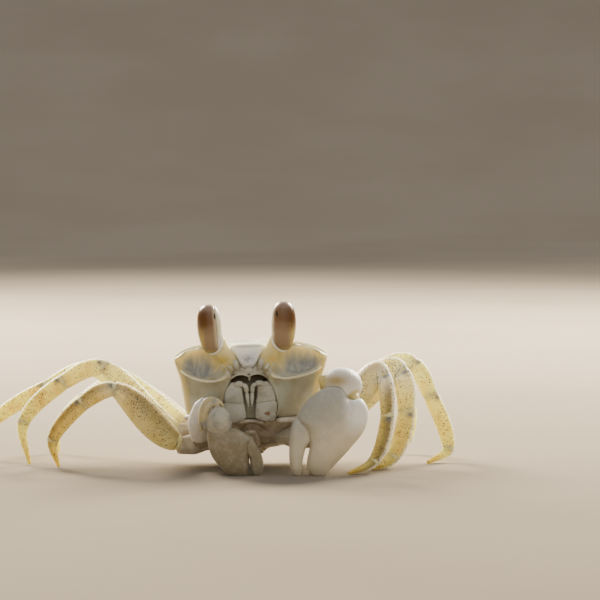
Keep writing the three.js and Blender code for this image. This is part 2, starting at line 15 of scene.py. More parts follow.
import bpy
import numpy as np
from mathutils import Matrix, Vector


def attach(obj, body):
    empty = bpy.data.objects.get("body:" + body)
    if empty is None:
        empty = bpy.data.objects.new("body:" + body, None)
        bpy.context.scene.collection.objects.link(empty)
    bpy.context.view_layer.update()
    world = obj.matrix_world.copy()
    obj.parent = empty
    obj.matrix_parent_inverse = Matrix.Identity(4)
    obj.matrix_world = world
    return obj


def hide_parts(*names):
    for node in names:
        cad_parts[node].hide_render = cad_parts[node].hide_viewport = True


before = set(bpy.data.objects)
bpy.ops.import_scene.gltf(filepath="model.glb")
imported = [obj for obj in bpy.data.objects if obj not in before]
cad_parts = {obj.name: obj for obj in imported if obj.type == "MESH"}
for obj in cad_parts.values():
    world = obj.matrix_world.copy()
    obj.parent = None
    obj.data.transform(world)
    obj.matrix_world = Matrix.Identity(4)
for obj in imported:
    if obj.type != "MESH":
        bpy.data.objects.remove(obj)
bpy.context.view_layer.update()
log = logging.getLogger("ghost_crab")

Array = np.ndarray
Piece = bpy.types.Object
Material = bpy.types.Material
Link = bpy.types.NodeSocket
# A place; places along a line; a chain of (place, value); a piece's half sizes by share;
# and a bar's sides, rings and cap
Point = Sequence[float]
Path = Sequence[Point]
Stops = Sequence[tuple[float, float]]
Half = Stops | Callable[[Array], Array]
BarMesh = tuple[int, int, float]

MM = 0.001
MERGE_DISTANCE = 0.01
SIDES = {1: "left", -1: "right"}
TRUNK_ROLL = math.radians(2.4)
ROLL_CENTRE = Vector((0.0, 0.0, 15.0))
FRAME_SHIFT = Vector((8.895, -1.983, 0.0))
TO_FRAME = Matrix.Translation(FRAME_SHIFT * MM) @ Matrix.Scale(MM, 4)
LEANING = (
    TO_FRAME
    @ Matrix.Translation(ROLL_CENTRE)
    @ Matrix.Rotation(-TRUNK_ROLL, 4, "Y")
    @ Matrix.Translation(-ROLL_CENTRE)
)


# ------------------------------------------------------------------ workbench
def pick(piece: Piece) -> None:
    """Selects one object alone and makes it active.

    Args:
        piece: The object.
    """
    for other in bpy.context.selected_objects:
        other.select_set(False)
    piece.select_set(True)
    bpy.context.view_layer.objects.active = piece


@contextmanager
def editing(piece: Piece) -> Iterator[None]:
    """Edit mode on one object, with all of its mesh selected at the start.

    Args:
        piece: The object.

    Yields:
        Nothing.
    """
    pick(piece)
    bpy.ops.object.mode_set(mode="EDIT")
    bpy.ops.mesh.select_all(action="SELECT")
    yield
    bpy.ops.object.mode_set(mode="OBJECT")


def face_outwards(piece: Piece) -> None:
    """Turns all faces of a closed mesh outwards."""
    with editing(piece):
        bpy.ops.mesh.normals_make_consistent(inside=False)


def trim(piece: Piece) -> None:
    """Cuts a piece flat on the floor.

    Args:
        piece: The piece, a closed mesh.
    """
    with editing(piece):
        bpy.ops.mesh.bisect(
            plane_co=(0, 0, 0), plane_no=(0, 0, 1), use_fill=True, clear_inner=True
        )


def points(piece: Piece) -> Array:
    """The places of a mesh's points.

    Args:
        piece: The mesh's object.

    Returns:
        One row a point.
    """
    co = np.empty(len(piece.data.vertices) * 3, np.float64)
    piece.data.vertices.foreach_get("co", co)
    return co.reshape(-1, 3)


def set_points(piece: Piece, co: Array) -> None:
    """Moves a mesh's points to the places given, one row each."""
    piece.data.vertices.foreach_set("co", np.ascontiguousarray(co, np.float32).ravel())
    piece.data.update()


def normals(piece: Piece) -> Array:
    """The outward directions at a mesh's points.

    Args:
        piece: The mesh's object.

    Returns:
        One row a point.
    """
    out = np.empty(len(piece.data.vertices) * 3, np.float64)
    piece.data.vertex_normals.foreach_get("vector", out)
    return out.reshape(-1, 3)


def press(piece: Piece, depth: Array) -> None:
    """Presses a mesh's points in along their normals, each by its own depth."""
    set_points(piece, points(piece) - normals(piece) * depth[:, None])


def mark(piece: Piece, name: str, *columns: Array | float) -> None:
    """Stores three numbers a point under a name that the materials read.

    Args:
        piece: The mesh's object.
        name: The name.
        *columns: Up to three columns, or numbers that hold for all points; the rest are 0.
    """
    values = np.zeros((len(piece.data.vertices), 3), np.float32)
    for number, column in enumerate(columns):
        values[:, number] = column
    layer = piece.data.attributes.new(name, "FLOAT_VECTOR", "POINT")
    layer.data.foreach_set("vector", values.ravel())


def modify(piece: Piece, kind: str, **settings: object) -> None:
    """Adds a modifier, sets it and applies it.

    Args:
        piece: The object to change.
        kind: The modifier's type.
        **settings: Its properties by name.
    """
    pick(piece)
    modifier = piece.modifiers.new(kind.lower(), kind)
    for key, value in settings.items():
        setattr(modifier, key, value)
    bpy.ops.object.modifier_apply(modifier=modifier.name)


def refine(piece: Piece, voxel: float, rounds: int) -> None:
    """Rebuilds a closed mesh as an even skin and relaxes it.

    Args:
        piece: The object to rebuild.
        voxel: The size of the new faces.
        rounds: How many times the skin is relaxed.
    """
    modify(piece, "REMESH", mode="VOXEL", voxel_size=voxel)
    if rounds:
        modify(piece, "SMOOTH", factor=0.5, iterations=rounds)


def cut(piece: Piece, cutter: Piece) -> None:
    """Cuts one closed mesh out of another and keeps the cutter."""
    modify(piece, "BOOLEAN", operation="DIFFERENCE", solver="EXACT", object=cutter)


def copy_of(piece: Piece, name: str) -> Piece:
    """Copies an object together with its mesh.

    Args:
        piece: The object.
        name: The copy's name.

    Returns:
        The copy.
    """
    twin = piece.copy()
    twin.data = piece.data.copy()
    twin.name = twin.data.name = name
    bpy.context.scene.collection.objects.link(twin)
    return twin


def cad_copy(node: str, name: str) -> Piece:
    """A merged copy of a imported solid, taken back to the crab's own millimetres.

    Args:
        node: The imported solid's name.
        name: The copy's name.

    Returns:
        The copy, free of the frame.
    """
    twin = bpy.data.objects.new(name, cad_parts[node].data.copy())
    bpy.context.scene.collection.objects.link(twin)
    twin.data.materials.clear()
    twin.data.transform(TO_FRAME.inverted())
    with editing(twin):
        bpy.ops.mesh.remove_doubles(threshold=MERGE_DISTANCE)
    return twin


def join(parts: Sequence[Piece], name: str) -> Piece:
    """Joins parts into the first of them.

    Args:
        parts: The parts.
        name: The name of the whole.

    Returns:
        The whole.
    """
    pick(parts[0])
    for part in parts[1:]:
        part.select_set(True)
    bpy.ops.object.join()
    parts[0].name = name
    return parts[0]


def ease(low: float, high: float, value: Array) -> Array:
    """Smooth step of a value from 0 at low to 1 at high."""
    share = np.clip((value - low) / (high - low), 0, 1)
    return share * share * (3 - 2 * share)


def at(stops: Stops, value: Array) -> Array:
    """Value on a chain of (place, value) stops at each place."""
    places, values = zip(*stops)
    return np.interp(value, places, values)


def bell(*terms: tuple[Array, float, float]) -> Array:
    """A soft hump: each term is a place, the hump's middle there and its half width."""
    return np.exp(-sum(((value - middle) / width) ** 2 for value, middle, width in terms))


def closeness(co: Array, path: Array, width: float, core: float = 0.0) -> Array:
    """How near points are to a path: 1 within the core, falling off over the width."""
    gaps = np.linalg.norm(co[:, None, :] - path[None, :, :], axis=2).min(1)
    return np.exp(-((np.maximum(0, gaps - core) / width) ** 2))


def unit(rows: Array) -> Array:
    """Rows scaled to length 1."""
    return rows / np.linalg.norm(rows, axis=1)[:, None]


def mirrored(stops: Path, side: int) -> list[Point]:
    """Stops on the side of the given sign, from stops on the left side."""
    return [(side * x, y, z) for x, y, z in stops]


class Line:
    """A smooth curve through points, evenly parted between them."""

    def __init__(self, stops: Path) -> None:
        """Keeps the points, with one more past each end.

        Args:
            stops: The points.
        """
        p = np.array(stops, float)
        self.knots = np.vstack([2 * p[0] - p[1], p, 2 * p[-1] - p[-2]])
        self.spans = len(p) - 1

    def point(self, share: Array) -> Array:
        """Places on the curve: a centripetal spline.

        Args:
            share: Shares of the curve's spans.

        Returns:
            One row a share.
        """
        place = np.clip(np.asarray(share, float), 0, 1) * self.spans
        first = np.minimum(place.astype(int), self.spans - 1)
        t = (place - first)[:, None]
        x0, x1, x2, x3 = (self.knots[first + k] for k in range(4))
        d0, d1, d2 = (
            np.sqrt(np.linalg.norm(b - a, axis=1))[:, None]
            for a, b in ((x0, x1), (x1, x2), (x2, x3))
        )
        m1 = d1 * ((x1 - x0) / d0 - (x2 - x0) / (d0 + d1) + (x2 - x1) / d1)
        m2 = d1 * ((x2 - x1) / d1 - (x3 - x1) / (d1 + d2) + (x3 - x2) / d2)
        c2, c3 = -3 * x1 + 3 * x2 - 2 * m1 - m2, 2 * x1 - 2 * x2 + m1 + m2
        return x1 + t * (m1 + t * (c2 + t * c3))

    def tangent(self, share: Array, step: float = 1e-4) -> Array:
        """Directions of the curve at shares of its spans."""
        return unit(self.point(np.asarray(share) + step) - self.point(np.asarray(share) - step))

    def even(self, count: int) -> Array:
        """Places spread over the curve."""
        return self.point(np.linspace(0, 1, count))


def nearest(co: Array, stops: Path, width: float, core: float = 0.0, count: int = 40) -> Array:
    """How near points are to a line on either side of the crab.

    Args:
        co: The points.
        stops: The line's stops on the left side.
        width: The distance over which the nearness falls off.
        core: The distance within which it is 1.
        count: How many places stand for the line.

    Returns:
        The nearness to the nearer of the two lines.
    """
    near = (closeness(co, Line(mirrored(stops, side)).even(count), width, core) for side in SIDES)
    return np.maximum(*near)


DOME_DEGREES = (12, 35, 60)
BAR_MASTERS: dict[BarMesh, Piece] = {}


def bar_master(sides: int, rings: int, cap: float) -> Piece:
    """Models a round bar of radius 1 from Z 0 to 1 by extruding a disc ring by ring.

    Args:
        sides: Points in each ring.
        rings: Rings between the ends.
        cap: The share of the length that each domed end takes; 0 leaves the ends flat.

    Returns:
        The bar, out of sight.
    """
    dome = [math.radians(a) for a in DOME_DEGREES] if cap else []
    low = [(cap * (1 - math.cos(a)), math.sin(a)) for a in dome]
    body = [(h, 1.0) for h in np.linspace(cap, 1 - cap, rings)]
    stack = low + body + [(1 - h, r) for h, r in reversed(low)]
    height, radius = stack[0]
    bpy.ops.mesh.primitive_circle_add(
        vertices=sides, radius=radius, fill_type="NGON", location=(0, 0, height)
    )
    master = bpy.context.object
    pick(master)
    bpy.ops.object.transform_apply()
    with editing(master):
        for next_height, next_radius in stack[1:]:
            step = {"value": (0, 0, next_height - height)}
            bpy.ops.mesh.extrude_region_move(TRANSFORM_OT_translate=step)
            grow = next_radius / radius
            if not math.isclose(grow, 1):
                bpy.ops.transform.resize(
                    value=(grow, grow, 1), center_override=(0, 0, next_height)
                )
            height, radius = next_height, next_radius
        bpy.ops.mesh.select_all(action="SELECT")
        bpy.ops.mesh.normals_make_consistent(inside=False)
    bpy.context.scene.collection.objects.unlink(master)
    return master


def bar(name: str, *mesh: float) -> Piece:
    """A copy of a straight bar, which is modelled once.

    Args:
        name: The copy's name.
        *mesh: The bar's sides, rings and cap.

    Returns:
        The bar's own copy.
    """
    if mesh not in BAR_MASTERS:
        BAR_MASTERS[mesh] = bar_master(*mesh)
    return copy_of(BAR_MASTERS[mesh], name)


def lay(
    piece: Piece,
    line: Line,
    across: Half,
    through: Half | None = None,
    normal: Point = (0, 1, 0),
    span: tuple[float, float] = (0, 1),
    sag: float = 0.0,
) -> Piece:
    """Bends a straight bar along a curve.

    Args:
        piece: The bar, along Z from 0 to 1.
        line: The curve it follows.
        across: Half sizes in the plane of bending, by share of the bar.
        through: Half sizes along the plane's normal, where they differ.
        normal: The plane's normal.
        span: The shares of the curve at the bar's ends.
        sag: How far the middle hangs below the curve.

    Returns:
        The same object.
    """
    x, y, share = points(piece).T
    wide, deep = (
        half(share) if callable(half) else at(half, share)
        for half in (across, across if through is None else through)
    )
    place = span[0] + (span[1] - span[0]) * share
    centre = line.point(place)
    centre[:, 2] -= sag * np.sin(np.pi * np.clip(share, 0, 1))
    tangent = line.tangent(place)
    plane = unit(np.cross(np.array(normal, float), tangent))
    side = unit(np.cross(tangent, plane))
    set_points(piece, centre + plane * (x * wide)[:, None] + side * (y * deep)[:, None])
    face_outwards(piece)
    return piece


def rod(
    name: str, mesh: BarMesh, stops: Path, across: Half, through: Half | None = None, side: int = 1
) -> Piece:
    """A bar bent along stops.

    Args:
        name: Its name.
        mesh: The bar's sides, rings and cap.
        stops: Places on its line, on the left side.
        across: Half sizes in the plane of bending, by share.
        through: Half sizes from front to back, where they differ.
        side: The sign of the side that it is made for.

    Returns:
        The rod.
    """
    return lay(bar(name, *mesh), Line(mirrored(stops, side)), across, through)


# ------------------------------------------------------------------ finishes
def tint(code: str) -> tuple[float, float, float, float]:
    """A colour from its six-figure code, as linear light."""
    parts = [int(code[k : k + 2], 16) / 255 for k in (0, 2, 4)]
    return (*(((c + 0.055) / 1.055) ** 2.4 if c > 0.04045 else c / 12.92 for c in parts), 1)


@dataclass(frozen=True)
class Finish:
    """What is the same all over a surface."""

    name: str
    roughness: float = 0.45
    glow: float = 0.3
    glow_reach: float = 1.2
    glow_colour: tuple[float, float, float] = (1.0, 0.85, 0.5)
    coat: float = 0.0
    sheen: float = 0.0
    specular: float = 0.5
    coat_roughness: float = 0.15
    sheen_roughness: float = 0.35


class Finishes(Enum):
    """The finishes of the crab's pieces and of the floor."""

    SHELL = Finish("shell", 0.42, 0.5, 1.8, (1.0, 0.94, 0.66), sheen=0.25)
    LEG = Finish("leg_shell", 0.4, 0.9, 3.0, (1.0, 0.94, 0.6), sheen=0.25)
    CLAW = Finish("claw_porcelain", 0.38, 0.35, 1.2, (1.0, 0.93, 0.86), sheen=0.3)
    MOUTH = Finish("mouth_plates", 0.45, 0.25, 0.8, (1.0, 0.93, 0.8))
    BELLY = Finish("belly_plates", 0.5, 0.2, 0.8, (1.0, 0.93, 0.8))
    CORNEA = Finish("cornea", 0.3, 0.15, 1.2, (1.0, 0.6, 0.3), coat=0.15)
    STALK = Finish("eye_stalk", 0.4, 0.5, 1.2, (1.0, 0.95, 0.8), sheen=0.3)
    JOINT = Finish("joint_skin", 0.5, 0.6, 1.0)
    HAIR = Finish("hair", 0.5, 0.3, 0.4)
    FLOOR = Finish("floor", 1.0, 0.0, specular=0.0)


class Paint:
    """A procedural material in the making: coats of colour and reliefs, one over another.

    The scale of a pattern is its number of cells a metre.
    """

    def __init__(self, finish: Finish, name: str = "") -> None:
        """Makes the material and sets what is the same all over it.

        Args:
            finish: What is the same all over it.
            name: The material's name, where it isn't the finish's.
        """
        self.material = bpy.data.materials.new(name or finish.name)
        self.material.use_nodes = True
        self.tree = self.material.node_tree
        self.shader = self.tree.nodes["Principled BSDF"]
        for socket, value in (
            ("Roughness", finish.roughness),
            ("Specular IOR Level", finish.specular),
            ("Subsurface Weight", finish.glow),
            ("Subsurface Scale", finish.glow_reach * MM),
            ("Subsurface Radius", finish.glow_colour),
            ("Coat Weight", finish.coat),
            ("Coat Roughness", finish.coat_roughness),
            ("Sheen Weight", finish.sheen),
            ("Sheen Roughness", finish.sheen_roughness),
        ):
            self.shader.inputs[socket].default_value = value
        self.colour: Link | None = None
        self.relief: Link | None = None

    def node(self, kind: str, inputs: dict, **settings: object) -> bpy.types.Node:
        """Adds a node.

        Args:
            kind: The node's type, without its ShaderNode prefix.
            inputs: Socket values or links, by socket name or number.
            **settings: The node's properties by name.

        Returns:
            The node.
        """
        made = self.tree.nodes.new("ShaderNode" + kind)
        for key, value in settings.items():
            setattr(made, key, value)
        for key, value in inputs.items():
            if isinstance(value, Link):
                self.tree.links.new(value, made.inputs[key])
            else:
                made.inputs[key].default_value = value
        return made

    def place(self) -> Link:
        """Object coordinates."""
        return self.node("TexCoord", {}).outputs["Object"]

    def stretched(self, source: Link, scale: Point, turn: Point = (0, 0, 0)) -> Link:
        """Coordinates, stretched and turned."""
        return self.node("Mapping", {"Vector": source, "Scale": scale, "Rotation": turn}).outputs[0]

    def vector(self, name: str) -> Link:
        """What the mesh stores under a name, as coordinates."""
        return self.node("Attribute", {}, attribute_name=name).outputs["Vector"]

    def stored(self, name: str) -> tuple[Link, Link, Link]:
        """The three numbers that the mesh stores under a name."""
        return tuple(self.node("SeparateXYZ", {0: self.vector(name)}).outputs)

    def noise(self, scale: float, detail: float = 3, source: Link | None = None) -> Link:
        """Soft noise from 0 to 1."""
        inputs = {"Vector": source or self.place(), "Scale": scale, "Detail": detail}
        return self.node("TexNoise", inputs).outputs["Fac"]

    def cells(self, scale: float) -> tuple[Link, Link]:
        """Cells of uneven shape.

        Args:
            scale: Cells a metre.

        Returns:
            The distance to the middle of a cell, and the cell's own number from 0 to 1.
        """
        made = self.node("TexVoronoi", {"Vector": self.place(), "Scale": scale})
        number = self.node("SeparateXYZ", {0: made.outputs["Color"]}).outputs[0]
        return made.outputs["Distance"], number

    def sum(self, kind: str, a: object, b: object = 0.0) -> Link:
        """One sum on two values."""
        return self.node("Math", {0: a, 1: b}, operation=kind).outputs[0]

    def times(self, a: object, b: object) -> Link:
        """The product of two values."""
        return self.sum("MULTIPLY", a, b)

    def band(self, value: Link, low: float, high: float) -> Link:
        """Smooth step of a value.

        Args:
            value: The value.
            low: Where the step is 0; it may be the larger of the two.
            high: Where it is 1.

        Returns:
            The step.
        """
        inputs = {"Value": value, "From Min": low, "From Max": high}
        if low > high:
            inputs |= {"From Min": high, "From Max": low, "To Min": 1.0, "To Max": 0.0}
        return self.node("MapRange", inputs, interpolation_type="SMOOTHSTEP").outputs[0]

    def specks(self, scale: float, size: float, share: object) -> Link:
        """Small round specks in some of the cells.

        Args:
            scale: Cells a metre.
            size: A speck's radius as a share of a cell.
            share: The share of cells that have one, as a number or a link.

        Returns:
            1 on a speck and 0 off it.
        """
        soft_edge = 0.65
        distance, number = self.cells(scale)
        chosen = self.sum("LESS_THAN", number, share)
        return self.times(self.band(distance, size, size * soft_edge), chosen)

    def mix(self, share: object, a: object, b: object) -> Link:
        """Mixes two colours; a colour is a six-figure code or a link."""
        pair = [tint(c) if isinstance(c, str) else c for c in (a, b)]
        return self.node("Mix", {0: share, 6: pair[0], 7: pair[1]}, data_type="RGBA").outputs[2]

    def clouded(self, cloud: Link, low: float, high: float, light: str, shade: str) -> Link:
        """One colour clouded with another, where the noise rises from low to high."""
        return self.mix(self.band(cloud, low, high), light, shade)

    def coat(self, share: object, colour: object, strength: object = None) -> None:
        """Lays a colour over what is there.

        Args:
            share: How much of it shows, from place to place.
            colour: A six-figure code or a link.
            strength: How much of it shows at most, as a number or a link.
        """
        shown = share if strength is None else self.times(share, strength)
        self.colour = self.mix(shown, self.colour, colour)

    def rough(self, height: Link, depth: float) -> None:
        """Adds relief.

        Args:
            height: Its height from 0 to 1.
            depth: Its depth in mm.
        """
        inputs = {"Height": height, "Distance": depth * MM, "Strength": 1.0}
        if self.relief is not None:
            inputs["Normal"] = self.relief
        self.relief = self.node("Bump", inputs).outputs[0]

    def done(self) -> Material:
        """Links the colour and the relief to the shader.

        Returns:
            The material.
        """
        self.tree.links.new(self.colour, self.shader.inputs["Base Color"])
        self.tree.links.new(self.relief, self.shader.inputs["Normal"])
        return self.material


def leg_finish() -> Material:
    """Translucent yellow shell with dark specks, more golden towards the foot, greyed by painted
    shade and whitened along its outer, upper margin by a painted highlight.

    Returns:
        The material.
    """
    paint = Paint(Finishes.LEG.value)
    across, _, part = paint.stored("leg")
    tone, grey, joint = paint.stored("leg_tone")
    cloud = paint.noise(350)
    golden = paint.band(paint.sum("ADD", part, paint.times(cloud, 0.8)), 1.0, 3.4)
    paint.colour = paint.mix(golden, "FFF6B4", "F8E880")
    paint.coat(paint.band(cloud, 0.45, 0.7), paint.mix(golden, "F8EA9A", "ECD668"))
    # painted shade: grey-brown laid over each leg as far as its grey goes
    paint.coat(grey, "826C30", 0.85)
    # painted highlight: the outer, upper margin whitened as if caught by the light from behind
    paint.coat(paint.band(across, 0.72, 1.0), "FFFAE4", 0.75)
    paint.coat(paint.band(part, 3.2, 3.9), "C4A134", 0.7)
    paint.coat(paint.stored("leg_pale")[0], "FFFCF0")
    stripes = paint.noise(1.0, 2, paint.stretched(paint.vector("leg"), (1.2, 1.2, 55)))
    paint.coat(paint.band(stripes, 0.5, 0.7), "A8966A", 0.35)
    dense = paint.times(tone, paint.band(paint.noise(240, 2), 0.3, 0.6))
    paint.coat(paint.specks(2900, 0.46, dense), "6E5838", 0.8)
    paint.coat(paint.specks(1500, 0.32, paint.times(dense, 0.65)), "4A4038", 0.9)
    paint.coat(joint, "596177", 0.9)
    paint.rough(paint.noise(2600, 2), 0.04)
    paint.rough(stripes, 0.07)
    margins = paint.band(paint.sum("ABSOLUTE", across), 0.72, 1.0)
    paint.rough(paint.times(paint.band(paint.cells(2300)[0], 0.6, 0.1), margins), 0.07)
    return paint.done()


def shell_finish() -> Material:
    """Cream shell: pale rims, a grey-white face, bluish hollows for the eyes and a mottled back.

    Much of the face's colour is painted light and shade: highlight on the rims, a glow down
    the sides, shade in the hollows, folds and mouth and on the left cheek, and light on the
    hollows' roofs and on the shield.

    Returns:
        The material.
    """
    paint = Paint(Finishes.SHELL.value)
    orbit, rim, side = paint.stored("face")
    lit_roof, gold, crease = paint.stored("hollow")
    back, blue, dark = paint.stored("marks")
    shield, edge, neck = paint.stored("front")
    cloud, grain = paint.noise(260, 4), paint.noise(1500)
    # the face's own grey-white, darkened a little as painted shade
    paint.colour = paint.clouded(cloud, 0.35, 0.7, "B5B6A4", "9F9B80")
    paint.coat(paint.band(paint.noise(90, 2), 0.45, 0.7), "A89A78", 0.4)
    top = paint.clouded(paint.noise(170, 5), 0.44, 0.66, "E4DEC2", "A69F80")
    blots = paint.times(paint.band(paint.noise(420), 0.52, 0.7), 0.5)
    paint.coat(back, paint.mix(blots, top, "8F8368"))
    # painted light: the yellow strip down each side of the face stands for the light from behind
    # shining through the shell
    paint.coat(side, "DEC87C")
    streaks = paint.noise(1100, 3, paint.stretched(paint.place(), (1.0, 0.6, 0.3), (0, 0.35, 0)))
    # painted shade and light in each eye's hollow: the bluish grey walls, streaked with the shell's
    # striae, are painted shade, and the cream roof under the brow is painted light
    striated_shaded_walls = paint.clouded(streaks, 0.3, 0.72, "8E9498", "B9BAB0")
    paint.coat(orbit, paint.mix(lit_roof, striated_shaded_walls, paint.clouded(cloud, 0.3, 0.7, "F4E4A0", "E8DCAA")))
    # the rims' own cream, lightened by painted highlight
    paint.coat(rim, "FAF1C8")
    paint.coat(neck, paint.clouded(cloud, 0.3, 0.7, "F6ECB4", "E6D994"))
    paint.coat(gold, "DCC050")
    # the shield's own pale tint, brightened to near white as painted light on its upturned front
    paint.coat(shield, paint.clouded(cloud, 0.35, 0.65, "FFFFFA", "EEF3F2"))
    paint.coat(blue, "6F7A8A", paint.band(grain, 0.2, 0.6))
    # painted shade in the cheek folds, on the left cheek and in the grooves beside the shield
    paint.coat(paint.sum("MAXIMUM", crease, edge), "6B6450")
    # painted shade in the mouth's room, darkest at its top
    paint.coat(dark, "46381F")
    paint.coat(paint.specks(1700, 0.22, paint.times(back, 0.3)), "6A5A40", 0.7)
    paint.rough(grain, 0.05)
    paint.rough(paint.times(paint.band(paint.cells(1500)[0], 0.55, 0.1), back), 0.12)
    paint.rough(paint.times(streaks, orbit), 0.1)
    return paint.done()


def claw_finish(name: str, upper: str, lower: str) -> Material:
    """Porcelain shell with fine grains and clouded tints that go from the upper tint to the lower by
    height; the right claw's darker tints are painted shade.

    Args:
        name: The material's name.
        upper: The tint of the upper part.
        lower: The tint of the lower part.

    Returns:
        The material.
    """
    paint = Paint(Finishes.CLAW.value, name)
    height, amber, grey = paint.stored("claw")
    pale, yellow, _ = paint.stored("claw_part")
    cloud = paint.noise(240, 4)
    level = paint.sum("ADD", height, paint.times(cloud, 0.3))
    paint.colour = paint.clouded(level, 0.9, 0.45, upper, lower)
    paint.coat(paint.band(cloud, 0.5, 0.75), "D2CBB8", 0.25)
    paint.coat(paint.band(paint.noise(1100, 4), 0.48, 0.7), "ECE8DE", 0.12)
    paint.coat(pale, "FFFBF0")
    paint.coat(amber, "B39C62")
    paint.coat(yellow, "D8C06A")
    paint.coat(grey, "8E918A", paint.band(paint.noise(420, 2), 0.4, 0.68))
    paint.coat(paint.specks(1900, 0.25, 0.1), "8D8880", 0.3)
    paint.rough(paint.noise(1900), 0.05)
    paint.rough(paint.band(paint.cells(1900)[0], 0.6, 0.1), 0.04)
    return paint.done()


def plate_finish(finish: Finish, light: str, shade: str, brown: float) -> Material:
    """Grey-white plates with brown in their seams and painted shade where they lie deep or in pits.

    Args:
        finish: What is the same all over them.
        light: Their tint.
        shade: The tint that clouds it.
        brown: How strong the brown marks are.

    Returns:
        The material.
    """
    paint = Paint(finish)
    seam, dark, warm = paint.stored("plate")
    paint.colour = paint.clouded(paint.noise(330, 4), 0.38, 0.68, light, shade)
    paint.coat(paint.times(paint.band(paint.noise(700), 0.5, 0.66), warm), "8C6C50", brown)
    paint.coat(seam, "665842")
    # painted shade where the plates lie deep and in their pits
    paint.coat(dark, "43361F")
    paint.rough(paint.noise(1800), 0.05)
    return paint.done()


def cornea_finish() -> Material:
    """Glassy brown, darkest above and outside, tan below with olive margins, and an upright dark slit
    that is a painted pseudopupil.

    Returns:
        The material.
    """
    paint = Paint(Finishes.CORNEA.value)
    height, outer, slit = paint.stored("eye")
    margin = paint.times(paint.band(outer, 0.62, 1.0), 0.75)
    paint.colour = paint.mix(margin, "967E60", "C8B05A")
    paint.coat(paint.band(height, 0.12, 0.0), "AFA062")
    cloud = paint.times(paint.sum("SUBTRACT", paint.noise(500), 0.5), 0.2)
    level = paint.sum("ADD", paint.sum("ADD", height, cloud), paint.times(outer, 0.1))
    paint.coat(paint.band(level, 0.38, 0.72), paint.clouded(outer, 0.0, 0.75, "7A5834", "66400E"))
    paint.coat(paint.band(height, 0.82, 0.97), "AE9684", 0.7)
    paint.coat(paint.stored("eye_edge")[0], "DCC9A8")
    # painted pseudopupil: the dark spot where the facets face the viewer, a play of light that in
    # life moves with the view, painted here in one place
    paint.coat(slit, "0D0906")
    paint.rough(paint.band(paint.cells(9000)[0], 0.7, 0.2), 0.006)
    return paint.done()


def soft_finish(finish: Finish, light: str, shade: str, scale: float) -> Material:
    """A clouded finish of two tints, with faint relief.

    Args:
        finish: What is the same all over it.
        light: Its tint.
        shade: The tint that clouds it.
        scale: Clouds a metre.

    Returns:
        The material.
    """
    grains_in_a_cloud = 5
    paint = Paint(finish)
    paint.colour = paint.clouded(paint.noise(scale), 0.35, 0.68, light, shade)
    paint.rough(paint.noise(scale * grains_in_a_cloud), 0.04)
    return paint.done()


def present(
    piece: Piece,
    material: Material,
    nodes: Sequence[str],
    place: Matrix = TO_FRAME,
    angle: float = 50.0,
) -> None:
    """Sets a finished piece in the frame.

    Args:
        piece: The piece, in the crab's own millimetres.
        material: Its material.
        nodes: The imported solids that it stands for.
        place: How it is set in the frame.
        angle: Edges sharper than this many degrees stay sharp.
    """
    piece.data.transform(place)
    piece.data.materials.clear()
    piece.data.materials.append(material)
    pick(piece)
    bpy.ops.object.shade_smooth_by_angle(angle=math.radians(angle))
    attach(piece, "root")
    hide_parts(*nodes)
    log.info("%s: %d faces", piece.name, len(piece.data.polygons))


# ------------------------------------------------------------------ walking legs
class Joint(Enum):
    """Half sizes of a leg's joints, across and through the plane in which it bends."""

    HIP = (2.1, 1.5)
    KNEE = (1.75, 1.35)
    WRIST = (1.85, 1.15)
    ANKLE = (1.5, 0.9)
    TIP = (0.42, 0.4)


@dataclass(frozen=True)
class SegmentSize:
    """A segment's place in the leg, its joints, how far it swells between them, and its rings."""

    number: int
    near: Joint
    far: Joint
    swell: tuple[float, float]
    rings: int


class Segment(Enum):
    """A leg's segments."""

    MERUS = SegmentSize(1, Joint.HIP, Joint.KNEE, (1.6, 0.1), 30)
    CARPUS = SegmentSize(2, Joint.KNEE, Joint.WRIST, (0.3, 0.1), 20)
    PROPODUS = SegmentSize(3, Joint.WRIST, Joint.ANKLE, (0.25, 0.1), 28)
    DACTYLUS = SegmentSize(4, Joint.ANKLE, Joint.TIP, (-0.1, -0.05), 26)


@dataclass(frozen=True)
class LegPose:
    """How a leg stands: the ends of its segments from the root to the tip, and its girth.

    The knee's joint lies past the bend by a share of a segment, and sag is how far the first
    segment hangs. The rest say how much painted shade greys the leg, how specked it is, and how
    pale it is at its knee.
    """

    name: str
    ends: Path
    size: float
    knee_past: float = 0.0
    sag: float = 0.0
    grey: float = 0.0
    specks: float = 1.0
    pale_knee: float = 0.0


